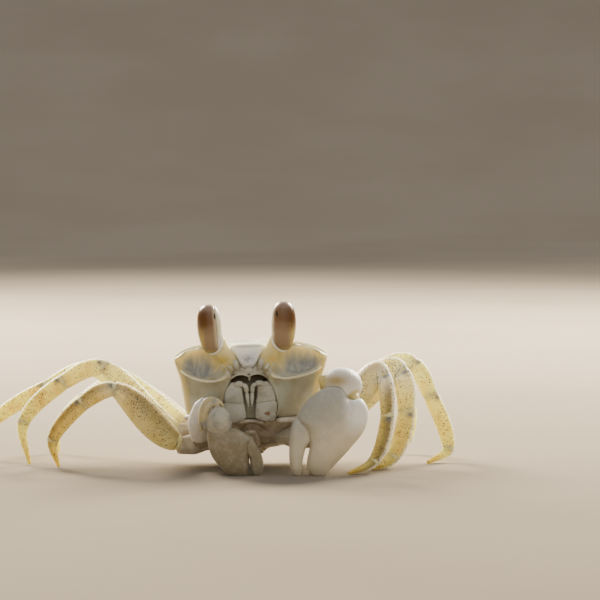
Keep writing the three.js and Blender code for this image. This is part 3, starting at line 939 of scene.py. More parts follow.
# A leg's grey is painted shade: the front pair, which stand in shade, are the greyest.
LEG_POSES = (
    LegPose(
        "right_1",
        ((-7, -3.6, 8), (-16.8, -7, 6.2), (-31.4, -11, 18.7), (-38.4, -10.5, 15.6),
         (-45.6, -8, 6.9), (-44.6, -4, 0.22)),
        0.96, grey=0.85, pale_knee=0.15,
    ),
    LegPose(
        "right_2",
        ((-7, 0, 8), (-17.6, 0, 8.2), (-34.4, 4, 22.7), (-43.8, 5, 19.2),
         (-53.2, 4, 9.8), (-51.6, 0, 0.22)),
        1.0, sag=1.7, grey=0.1,
    ),
    LegPose(
        "right_3",
        ((-7, 4, 8), (-16.2, 6.4, 9.4), (-37.4, 13, 21.6), (-48.2, 15, 17.2),
         (-61.4, 16, 8.8), (-66, 15, 0.22)),
        0.98, specks=0.5,
    ),
    LegPose(
        "right_4",
        ((-6.5, 8, 8), (-14.6, 12.4, 8.8), (-31.6, 23.4, 17.4), (-39.6, 26.4, 14),
         (-46.6, 28, 6), (-46.4, 26, 0.22)),
        0.84, specks=0.5,
    ),
    LegPose(
        "left_1",
        ((7, -3.6, 8.4), (16.4, -6, 8), (30, -8.4, 22.4), (31.6, -13, 12.6),
         (28.2, -17.4, 2.6), (22.4, -20.6, 0.22)),
        1.06, knee_past=0.2, grey=0.95, pale_knee=0.8,
    ),
    LegPose(
        "left_2",
        ((7, 0, 8.4), (16.6, 0, 9.4), (34.5, 0.6, 22.3), (36.4, -3, 12.8),
         (33, -7, 2.6), (27.4, -12, 0.22)),
        1.14, knee_past=0.15, grey=0.2, pale_knee=0.65,
    ),
    LegPose(
        "left_3",
        ((7, 4, 8.4), (16.4, 6.4, 10), (37.6, 9.6, 23.4), (42.8, 9.2, 15.6),
         (46.75, 6.6, 3.2), (41.6, 2.4, 0.22)),
        0.98, knee_past=0.12, specks=0.7,
    ),
    LegPose(
        "left_4",
        ((6.5, 8, 8.4), (14.8, 12.4, 9.2), (32.2, 21.6, 18.6), (38.4, 24.2, 12.4),
         (38.2, 25.4, 3.6), (35, 22.4, 0.22)),
        0.84, specks=0.5,
    ),
)
HIP_END, KNEE_END, ANKLE_END, LEG_SPANS = 1, 2, 4, 5


@dataclass
class WalkingLegs:
    """The eight legs, each of four shell segments with skin at their joints."""

    gap: float = 0.04
    sides: int = 32
    collar_size: float = 0.965
    collar_reach: float = 0.016
    collar_mesh: BarMesh = (24, 5, 0.25)
    poses: tuple[LegPose, ...] = LEG_POSES

    def build(self) -> None:
        """Models each segment once, lays its copies along every leg and adds the joints' skin."""
        shell = leg_finish()
        skin = soft_finish(Finishes.JOINT.value, "F2E8B0", "E0D08A", 700)
        for segment in Segment:
            master = self.master(segment)
            for pose in self.poses:
                self.segment(pose, segment, master, shell)
            bpy.data.objects.remove(master)
        for pose in self.poses:
            self.skins(pose, skin)

    def course(self, pose: LegPose) -> tuple[Line, Array]:
        """The curve of a leg and the plane in which it bends.

        Args:
            pose: The leg.

        Returns:
            The curve, and the plane's normal.
        """
        reach = np.subtract(pose.ends[ANKLE_END], pose.ends[HIP_END]) * (1, 1, 0)
        normal = np.cross(reach, (0, 0, 1))
        return Line(pose.ends), normal / np.linalg.norm(normal)

    def span(self, pose: LegPose, number: int) -> tuple[float, float]:
        """Where a segment lies on the leg's curve.

        Args:
            pose: The leg.
            number: The segment's place in the leg.

        Returns:
            The shares of the curve at the segment's ends.
        """
        length = math.dist(pose.ends[number], pose.ends[number + 1])
        half_gap = self.gap / 2 / length
        start, end = (n + (pose.knee_past if n == KNEE_END else 0) for n in (number, number + 1))
        end -= 0 if number == ANKLE_END else half_gap
        return (start + half_gap) / LEG_SPANS, end / LEG_SPANS

    def master(self, segment: Segment) -> Piece:
        """Models a straight segment with keeled margins, a swollen far rim and a necked near end.

        Args:
            segment: Which segment it is.

        Returns:
            The master, along Z from 0 to 1.
        """
        size = segment.value
        piece = bar("master_" + segment.name.lower(), self.sides, size.rings, 0.02)
        x, y, share = points(piece).T
        across = x.copy()
        y *= 1 - 0.16 * across - 0.1 * across**2
        x *= 1 + 0.05 * np.maximum(0, np.abs(across) - 0.8)
        if segment is Segment.DACTYLUS:
            flutes = np.cos(4 * np.arctan2(y, across))
            girth = 1 + 0.07 * flutes * ease(0.05, 0.25, share)
        else:
            rim = 0.03 * bell((share, 0.965, 0.02)) - 0.03 * bell((share, 0.9, 0.025))
            girth = 1 + rim - 0.04 * bell((share, 0, 0.04))
        set_points(piece, np.column_stack([x * girth, y * girth, share]))
        mark(piece, "leg", across, y * girth, share + size.number - 1)
        return piece

    def segment(self, pose: LegPose, segment: Segment, master: Piece, shell: Material) -> None:
        """Lays a copy of a straight segment along a leg and dresses it.

        Args:
            pose: The leg.
            segment: Which segment it is.
            master: The straight segment.
            shell: Its material.
        """
        size = segment.value
        name = f"leg_{pose.name}_{segment.name.lower()}"
        piece = copy_of(master, name + "_shell")
        co = points(piece)
        mark(piece, "leg_tone", *self.tones(pose, segment, co))
        mark(piece, "leg_pale", pose.pale_knee * bell((co[:, 2] + size.number, 2.1, 0.3)))
        line, normal = self.course(pose)
        across, through = (self.girth(pose, size, key) for key in (0, 1))
        sag = pose.sag if segment is Segment.MERUS else 0
        lay(piece, line, across, through, normal, self.span(pose, size.number), sag)
        if segment is Segment.DACTYLUS:
            trim(piece)
        present(piece, shell, [name])

    def tones(self, pose: LegPose, segment: Segment, co: Array) -> tuple[Array, Array, Array]:
        """How a segment's points are toned.

        Args:
            pose: The leg.
            segment: Which segment it is.
            co: The points of its master.

        Returns:
            The density of the specks, the grey of the painted shade and the joint's spots.
        """
        across, share = co[:, 0], co[:, 2]
        speck, spot = np.full(len(co), 0.5), np.zeros(len(co))
        if segment is Segment.MERUS:
            speck = 0.15 + 0.85 * ease(0.1, 0.3, share) * ease(-0.9, 0.0, across)
        elif segment is Segment.PROPODUS:
            speck = 0.5 + 0.5 * ease(-0.3, 0.5, across)
        if segment in (Segment.CARPUS, Segment.PROPODUS):
            spot = bell((share, 0.09, 0.05), (across, 0.62, 0.3))
        # painted shade, greyest on the leg's outer, upper side
        grey = pose.grey * (0.4 + 0.6 * ease(-0.2, 0.6, across))
        return speck * pose.specks, grey, spot

    def girth(self, pose: LegPose, size: SegmentSize, key: int) -> Callable[[Array], Array]:
        """How thick a segment is along its length.

        Args:
            pose: The leg.
            size: The segment's sizes.
            key: 0 for across the plane of bending and 1 for through it.

        Returns:
            A function from shares of the segment to its half sizes there.
        """
        near, far, swell = size.near.value[key], size.far.value[key], size.swell[key]
        return lambda share: pose.size * (
            near + (far - near) * share + swell * np.sin(np.pi * np.clip(share, 0, 1) ** 0.85)
        )

    def skins(self, pose: LegPose, skin: Material) -> None:
        """Models the soft skin that closes a leg's joints, one collar copied to each.

        Args:
            pose: The leg.
            skin: The skin's material.
        """
        line, normal = self.course(pose)
        collars = []
        for segment in Segment:
            number, joint = segment.value.number, segment.value.near
            place = (number + (pose.knee_past if number == KNEE_END else 0)) / LEG_SPANS
            across, through = (((0, self.collar_size * pose.size * v),) for v in joint.value)
            span = (place - self.collar_reach, place + self.collar_reach)
            collar = bar(f"collar_{number}", *self.collar_mesh)
            collars.append(lay(collar, line, across, through, normal, span))
        piece = join(collars, f"leg_{pose.name}_joint_skins")
        present(piece, skin, [])


# ------------------------------------------------------------------ shell and face
EYE_SOCKET_REACH = (6.1, 17.3)
EYE_SOCKET_TOP = ((0, 27.4), (0.25, 28.6), (0.5, 28.7), (0.75, 28.0), (1, 26.6))
EYE_SOCKET_FLOOR = ((0, 22.9), (0.2, 21.9), (0.4, 21.8), (0.65, 22.4), (0.85, 23.6), (1, 24.8))
UPPER_RIM = (
    (5.2, -13.6, 29.2), (6.8, -14.2, 29.5), (9, -14.5, 29.55), (11, -14.6, 29.4),
    (13.2, -14.7, 28.95), (15.2, -14.8, 28.25), (16.7, -14.9, 27.4), (17.7, -14.9, 26.5),
)
LOWER_RIM = (
    (4.6, -14.5, 22.6), (5.8, -14.8, 21.7), (7.6, -15.0, 21.3), (9.6, -15.0, 21.3),
    (12.6, -15.0, 21.9), (15.0, -14.9, 22.9), (16.5, -14.8, 24.1),
)
MOUTH_RIM = (
    (4.4, -14.2, 21.4), (5.5, -14.1, 19.2), (6.25, -13.9, 16.9), (6.5, -13.5, 14.6),
    (6.1, -13.1, 12.8), (5.2, -12.8, 11.9),
)
MOUTH_HALF_WIDTH = (
    (11, 5.2), (12.6, 5.8), (14.65, 6.25), (16.8, 5.95), (19, 5.25), (20.8, 4.2), (22.2, 3.7),
)
# Inner edge of the painted glow down each side of the face: its distance from the middle at each
# height
SIDE_STRIP_EDGE = ((13.7, 14.0), (16.3, 14.1), (19, 14.35), (21.7, 15.0), (24.3, 15.9))
SHIELD_HALF_WIDTH = ((23.9, 0.9), (24.4, 1.5), (25.5, 2.2), (27.1, 2.8), (28.9, 4.0), (29.8, 4.6))
NECK = (
    (4.5, -12.8, 25.2), (4.9, -13.9, 26.4), (5.6, -14.5, 27.8), (6.3, -14.9, 29.8),
    (6.6, -15.0, 31.8),
)
SHIELD = (
    (0, -12.4, 29.0), (0, -13.7, 28.8), (0, -14.5, 27.8), (0, -14.9, 26.2), (0, -15.0, 24.4),
)


@dataclass(frozen=True)
class Groove:
    """A line engraved on both sides."""

    stops: Path
    width: float
    depth: float


CHEEK_FOLD = Groove(
    ((6.4, -13.4, 13.4), (8.4, -13.8, 12.9), (11, -13.8, 12.7), (13.4, -13.2, 13.2)), 0.24, 0.3
)
GROOVES = (
    Groove(
        ((2.2, -5, 29.7), (3.2, -1, 29.6), (2.6, 3, 29.3), (3.6, 7, 28.5), (5.5, 10, 27.2)), 0.7, 0.26
    ),
    Groove(((3.2, -2, 29.6), (7.5, -4.5, 29.3), (12, -3, 28.3), (15.5, -1, 26.8)), 0.7, 0.18),
    Groove(((2.6, 3, 29.3), (0, 4.2, 29.2)), 0.6, 0.2),
    CHEEK_FOLD,
    Groove(((14.0, -14.4, 23.2), (13.4, -14.4, 20.6), (13.0, -14.2, 17.8)), 0.22, 0.12),
    Groove(((7.4, -14.3, 20.2), (8.2, -14.3, 18), (8.0, -14, 15.5)), 0.5, 0.1),
)
# Lines along which the shell is pale: stops, half width and strength. There the rims' own cream is
# lightened by painted highlight, and the last line, down the side edge, is painted highlight alone.
PALE_EDGES = (
    (((0, -13.6, 29.1), (4, -13.3, 29.1)), 0.6, 0.9),
    (UPPER_RIM, 0.95, 1.0),
    (LOWER_RIM, 0.6, 1.0),
    (((17.7, -14.8, 26.5), (17.6, -14.6, 24.6), (17.0, -14.2, 22), (16.2, -13.8, 18),
      (15.2, -12.9, 13.4)), 0.9, 0.8),
)


def scoop(co: Array) -> tuple[Array, Array, Array]:
    """Where points lie in the hollows for the eyes.

    Args:
        co: Points of the level shell.

    Returns:
        The share of the hollow's full depth, and the height and side place in it from -1 to 1.
    """
    near, far = EYE_SOCKET_REACH
    reach = (np.abs(co[:, 0]) - near) / (far - near)
    top, low = at(EYE_SOCKET_TOP, reach), at(EYE_SOCKET_FLOOR, reach)
    height = (co[:, 2] - (top + low) / 2) / ((top - low) / 2)
    middle = 2 * reach - 1
    inside = 1 - np.abs(middle) ** 2.4 - np.abs(height) ** 2.4
    return np.clip(inside, 0, 1), height, middle


@dataclass
class Shell:
    """The carapace with its face: rims, hollows for the eyes, shield, cheeks and mottled back."""

    voxel: float = 0.3
    skin_voxel: float = 0.27
    bottom: float = 12.0
    top: float = 29.7
    rear_fall: float = 0.011
    hollow_depth: float = 3.9
    mouth_back: float = -12.0
    # height, half width, front, rear, squareness in front, taper behind
    levels: tuple[tuple[float, ...], ...] = (
        (12.0, 15.6, -12.2, 13.4, 4, 0.22), (13.0, 15.9, -12.7, 13.9, 4, 0.23),
        (14.4, 16.4, -13.2, 14.7, 4, 0.24), (18.0, 16.9, -13.8, 15.9, 4, 0.26),
        (22.0, 17.3, -14.2, 16.8, 5, 0.27), (24.8, 17.9, -14.4, 17.1, 8, 0.28),
        (26.2, 18.1, -14.4, 16.8, 9, 0.28), (27.5, 16.6, -14.3, 15.4, 6, 0.30),
        (28.5, 13.4, -14.2, 12.6, 5, 0.30), (29.3, 9.4, -13.0, 8.6, 4, 0.30),
        (29.75, 4.2, -7.4, 4.4, 4, 0.30),
    )
    rear_squareness: float = 3.0
    rims: tuple[tuple[Path, float], ...] = ((UPPER_RIM, 0.42), (LOWER_RIM, 0.34), (MOUTH_RIM, 0.3))

    def build(self) -> None:
        """Models the body, its rims and shield, melts them into one skin and details it."""
        body = self.body()
        refine(body, self.voxel, 6)
        self.hollow(body)
        parts = [body, self.shield()]
        for side in SIDES:
            parts += [self.rim(stops, radius, side) for stops, radius in self.rims]
            parts.append(self.neck(side))
        piece = join(parts, "carapace_shell")
        refine(piece, self.voxel, 0)
        for room in Eye.rooms():
            cut(piece, room)
            bpy.data.objects.remove(room)
        refine(piece, self.skin_voxel, 3)
        self.engrave(piece)
        self.colour(piece)
        self.set_askew(piece)
        present(piece, shell_finish(), ["carapace"], LEANING, 70)

    def body(self) -> Piece:
        """Models the plain shell: a bar whose rings take the level outlines.

        Returns:
            The plain shell.
        """
        piece = bar("carapace", 120, 56, 0.0)
        x, y, share = points(piece).T
        table = np.array(self.levels)
        z, half, front, rear, square, taper = (
            np.interp(share * (len(table) - 1), np.arange(len(table)), column)
            for column in table.T
        )
        turn = np.arctan2(y, x)
        power = 2 / np.where(np.sin(turn) < 0, square, self.rear_squareness)
        depth = np.sign(np.sin(turn)) * np.abs(np.sin(turn)) ** power
        behind = (depth + 1) / 2
        wide = np.sign(np.cos(turn)) * np.abs(np.cos(turn)) ** power
        wide *= half * (1 - taper * behind**1.6)
        far = front + (rear - front) * behind
        rise = (z - self.bottom) / (self.top - self.bottom)
        z = z - rise * self.rear_fall * np.maximum(0, far + 2) ** 2
        set_points(piece, np.column_stack([wide, far, z]))
        return piece

    def hollow(self, body: Piece) -> None:
        """Presses in the hollows for the eyes and the room for the mouth, and lifts the brow.

        Args:
            body: The plain shell.
        """
        co = points(body)
        x = np.abs(co[:, 0])
        front = ease(-9.5, -13.2, co[:, 1]) * (co[:, 2] < 28.8)
        inside, height, _ = scoop(co)
        depth = self.hollow_depth * inside**0.55 * (0.86 - 0.14 * height)
        brow = at([(stop[0], stop[2]) for stop in UPPER_RIM], x) - 0.25
        lift = ease(-6, -13.5, co[:, 1]) * ease(26.2, 27.4, co[:, 2]) * (x < 18)
        lift = lift * ease(4.6, 6.5, x)
        edge = at(((0, 28.6), (13.4, 28.4), (16.4, 27.3), (18.1, 26.0)), x)
        co[:, 2] += lift * np.maximum(0, brow - edge) * (inside <= 0)
        co[:, 1] += depth * front
        mouth = ease(0.25, -0.1, x - at(MOUTH_HALF_WIDTH, co[:, 2]))
        mouth = mouth * ease(22.5, 22.1, co[:, 2]) * (co[:, 1] < -9)
        co[:, 1] += mouth * np.maximum(0, self.mouth_back - co[:, 1])
        set_points(body, co)

    def rim(self, stops: Path, radius: float, side: int) -> Piece:
        """A raised edge of a hollow or of the mouth.

        Args:
            stops: Its line on the left side.
            radius: Its radius.
            side: The sign of its side.

        Returns:
            The edge's bar.
        """
        half = ((0, radius * 0.6), (0.2, radius), (0.85, radius), (1, radius * 0.6))
        return rod("rim", (12, 40, 0.02), stops, half, side=side)

    def neck(self, side: int) -> Piece:
        """The root of an eye's stalk, from beside the shield to the foot of the eye.

        Args:
            side: The sign of its side.

        Returns:
            The root's bar.
        """
        across = ((0, 1.4), (0.35, 1.8), (0.6, 1.75), (0.85, 1.45), (1, 0.9))
        through = ((0, 0.8), (0.35, 1.0), (0.7, 1.15), (1, 0.9))
        return rod("neck", (28, 16, 0.08), NECK, across, through, side)

    def shield(self) -> Piece:
        """The down-turned front between the eyes: a broad bar that narrows to a blunt tip.

        Returns:
            The shield's bar.
        """
        across = ((0, 4.3), (0.25, 4.1), (0.5, 3.1), (0.75, 2.4), (0.92, 1.8), (1, 1.1))
        return rod("shield", (40, 30, 0.03), SHIELD, across, ((0, 0.6), (1, 0.7)))

    def set_askew(self, piece: Piece) -> None:
        """Leans the outer corners of the face a little to the left and down, as they grew.

        Args:
            piece: The shell.
        """
        co = points(piece)
        share = ease(9, 18, np.abs(co[:, 0]))
        co[:, 0] += 0.6 * share
        co[:, 2] -= 0.3 * share * np.sign(co[:, 0]) * ease(18, 24, co[:, 2])
        set_points(piece, co)

    def engrave(self, piece: Piece) -> None:
        """Cuts the back's grooves, the cheek's folds and the shield's dish into the skin.

        Args:
            piece: The shell.
        """
        co = points(piece)
        x, y, z = co.T
        depth = np.zeros(len(co))
        for side in SIDES:
            for groove in GROOVES:
                path = Line(mirrored(groove.stops, side)).even(26)
                depth += closeness(co, path, groove.width) * groove.depth
        dish = bell((x, 0, 1.5), (z, 25.9, 1.2)) * ease(-13.6, -14.6, y)
        ledge = np.exp(-((x / 3.0) ** 4) - ((z - 28.9) / 0.35) ** 2) * ease(-13.0, -13.6, y)
        face = ease(-12.8, -13.6, y) * ease(0.3, 0.0, scoop(co)[0])
        cheek = bell((np.abs(x), 10.6, 3.2), (z, 17.4, 3.0)) * face
        press(piece, depth - (0.12 * ledge - 0.3 * dish) - 0.55 * cheek)

    def colour(self, piece: Piece) -> None:
        """Stores where the rims, hollows, sides, back and marks are, among them the places of painted
        light and shade.

        Args:
            piece: The shell.
        """
        co = points(piece)
        x, y, z = np.abs(co[:, 0]), co[:, 1], co[:, 2]
        inside, height, middle = scoop(co)
        sunk = ease(-14.4, -13.2, y) * ease(28.7, 28.3, z) * ease(0, 0.2, inside)
        # pale rims: own cream with painted highlight
        rims = [force * nearest(co, stops, width) for stops, width, force in PALE_EDGES]
        # painted light: the glowing strip down each side of the face
        strip = ease(-0.5, 0.7, x - at(SIDE_STRIP_EDGE, z)) * ease(0.4, 0.1, inside)
        mark(piece, "face", sunk, np.max(rims, axis=0), 0.85 * strip)
        # the roof and corners of each hollow, which take the painted light
        wave = height + 0.12 * np.sin(x * 1.7) + 0.1 * np.sin(x * 4.1)
        corners = 0.8 * ease(0.45, 0.9, middle) + 0.8 * ease(-0.45, -0.8, middle)
        lit_roof = np.clip(ease(-0.3, 0.75, wave) + corners, 0, 1)
        gold = 0.6 * bell((x, 5.8, 2.3), (z, 25.9, 1.5)) * ease(-9, -11, y)
        # painted shade on the left cheek
        cheek_shade = 0.65 * bell((co[:, 0], 13.4, 3.2), (z, 18.0, 3.2)) * ease(-11, -13, y)
        # painted shade in the cheek folds
        crease = 0.45 * nearest(co, CHEEK_FOLD.stops, CHEEK_FOLD.width)
        mark(piece, "hollow", lit_roof, gold, np.maximum(crease, cheek_shade))
        back = ease(0.25, 0.75, normals(piece)[:, 2]) * ease(-14.0, -11.5, y) * ease(0.3, 0, inside)
        blue = bell((x, 0, 1.5), (z, 25.9, 1.0)) * ease(-13.6, -14.4, y)
        blue += 0.5 * sunk * bell((co[:, 0], 12.9, 2.8), (z, 24.4, 1.5))
        # painted shade in the mouth's room
        room = ease(0.3, -0.1, x - at(MOUTH_HALF_WIDTH, z)) * ease(22.5, 22.1, z)
        room = room * ease(-13.6, -12.9, y) * (y < -8)
        dark = room * (0.3 + 0.3 * ease(14.5, 16.5, z) + 0.35 * ease(20.0, 20.8, z))
        mark(piece, "marks", back, 0.8 * blue, dark)
        # the shield, painted near white partly as light
        half = at(SHIELD_HALF_WIDTH, z)
        front = ease(-13.2, -13.9, y) * ease(23.6, 24.0, z)
        shield = ease(0.25, -0.25, x - half) * front * (1 - 0.8 * ease(28.4, 29.0, z))
        # painted shade in the grooves beside the shield
        edge = 0.6 * bell((x - half, 0.1, 0.2)) * front * ease(27.6, 26.4, z)
        mark(piece, "front", shield, edge, 0.9 * nearest(co, NECK, 1.0, 1.5))


# ------------------------------------------------------------------ eyes
EYE_LIP = (
    (5.5, -15.7, 31.6), (5.8, -16.5, 29.8), (6.6, -16.9, 28.4), (7.7, -16.6, 27.65),
    (9.0, -15.8, 27.6),
)


@dataclass(frozen=True)
class Eye:
    """One raised eye: a glassy capsule held by the pale shell of its stalk.

    The turn is how far the pale shell sits behind the eye's inner side, and band is its width.
    """

    side: int
    turn: float
    band: float
    slit_x: float
    x: float = 8.15
    y: float = -15.2
    bottom: float = 27.6
    height: float = 11.3
    radius: float = 2.9
    lean: float = math.radians(2.5)
    voxel: float = 0.12

    @classmethod
    def pair(cls) -> tuple["Eye", "Eye"]:
        """The left and the right eye."""
        return cls(1, math.radians(30), 1.3, -1.15), cls(-1, math.radians(4), 1.6, 0.95)

    @classmethod
    def rooms(cls) -> list[Piece]:
        """The clear space that both corneas need in the shell."""
        return [eye.front("eye_room", 0.1) for eye in cls.pair()]

    @property
    def foot(self) -> Vector:
        """Where the eye stands on the shell."""
        return Vector((self.side * self.x, self.y, self.bottom))

    def capsule(self, name: str, grow: float) -> Piece:
        """Models the whole eye: a ball drawn out into a leaning capsule, wider above.

        Args:
            name: Its name.
            grow: The clear space by which it is larger than the eye.

        Returns:
            The capsule, in its place.
        """
        bpy.ops.mesh.primitive_uv_sphere_add(segments=56, ring_count=36, radius=1)
        piece = bpy.context.object
        piece.name = name
        x, y, z = points(piece).T
        at_pole = 1e-4
        flat = np.maximum(np.sqrt(x * x + y * y), at_pole / 100)
        radius = (self.radius + grow) * flat**0.72 * (1 + 0.06 * z) * (flat > at_pole)
        high = self.height / 2 * (1 + z) + grow * z
        set_points(piece, np.column_stack([x / flat * radius, y / flat * radius, high]))
        lean = Matrix.Rotation(self.side * self.lean, 4, "Y")
        piece.data.transform(Matrix.Translation(self.foot) @ lean)
        return piece

    def plane(self, shift: float) -> tuple[Vector, Vector]:
        """The upright plane between cornea and stalk shell.

        Args:
            shift: How far it stands from the eye's middle.

        Returns:
            A point of the plane and its normal.
        """
        angle = -self.side * self.turn
        inner = Vector((-self.side * math.cos(angle), -self.side * math.sin(angle), 0))
        normal = Matrix.Rotation(self.side * self.lean, 3, "Y") @ inner
        return self.foot + normal * shift, normal

    def split(self, piece: Piece, keep_front: bool, shift: float) -> None:
        """Cuts a capsule along that plane.

        Args:
            piece: The capsule.
            keep_front: Whether the cornea's part stays, or else the stalk shell's.
            shift: How far the plane stands from the eye's middle.
        """
        foot, normal = self.plane(shift)
        with editing(piece):
            bpy.ops.mesh.bisect(
                plane_co=foot, plane_no=normal, use_fill=True,
                clear_outer=keep_front, clear_inner=not keep_front,
            )

    def front(self, name: str, grow: float) -> Piece:
        """The cornea's part of the capsule.

        Args:
            name: Its name.
            grow: The clear space by which it is larger.

        Returns:
            The part.
        """
        piece = self.capsule(name, grow)
        self.split(piece, True, self.radius - self.band)
        return piece

    def build(self, glass: Material, pale: Material) -> None:
        """Models the cornea and the stalk shell.

        Args:
            glass: The cornea's material.
            pale: The stalk shell's material.
        """
        name = SIDES[self.side]
        cornea = self.front(f"cornea_{name}", 0.0)
        refine(cornea, self.voxel, 1)
        self.tell_heights(cornea)
        present(cornea, glass, [f"eye_{name}"], LEANING, 60)
        shell = self.capsule("stalk_shell", -0.02)
        self.split(shell, False, self.radius - self.band + 0.05)
        stalk = join([shell, self.cup()], f"eye_stalk_{name}")
        refine(stalk, 0.16, 0)
        room = self.front("room", 0.01)
        cut(stalk, room)
        bpy.data.objects.remove(room)
        refine(stalk, self.voxel, 1)
        present(stalk, pale, [f"eyestalk_{name}"], LEANING, 60)

    def cup(self) -> Piece:
        """The raised lip with which the stalk shell holds the foot of the cornea.

        Returns:
            The lip's bar.
        """
        half = ((0, 0.16), (0.3, 0.27), (0.8, 0.27), (1, 0.16))
        return rod("lip", (12, 20, 0.05), EYE_LIP, half, side=self.side)

    def tell_heights(self, cornea: Piece) -> None:
        """Stores the height, outer side, dark slit of the painted pseudopupil and pale seam of the
        cornea.

        Args:
            cornea: The cornea.
        """
        co = points(cornea)
        x, y, z = (co - self.foot).T
        high = z / self.height
        # the painted pseudopupil's slit
        slit = bell((x, self.slit_x, 0.26), (high, 0.765, 0.075))
        slit = ease(0.35, 0.75, slit) * (y < 0)
        mark(cornea, "eye", high, ease(-1.4, 2.9, self.side * x), slit)
        foot, normal = self.plane(self.radius - self.band)
        seam = ease(0.9, 0.05, np.abs((co - foot) @ normal))
        mark(cornea, "eye_edge", 0.8 * seam * ease(0.02, 0.2, high))


@dataclass
class Eyes:
    """Both eyes."""

    def build(self) -> None:
        """Makes the finishes once and builds each eye."""
        glass = cornea_finish()
        pale = soft_finish(Finishes.STALK.value, "F4F0DE", "E8DFBC", 260)
        for eye in Eye.pair():
            eye.build(glass, pale)


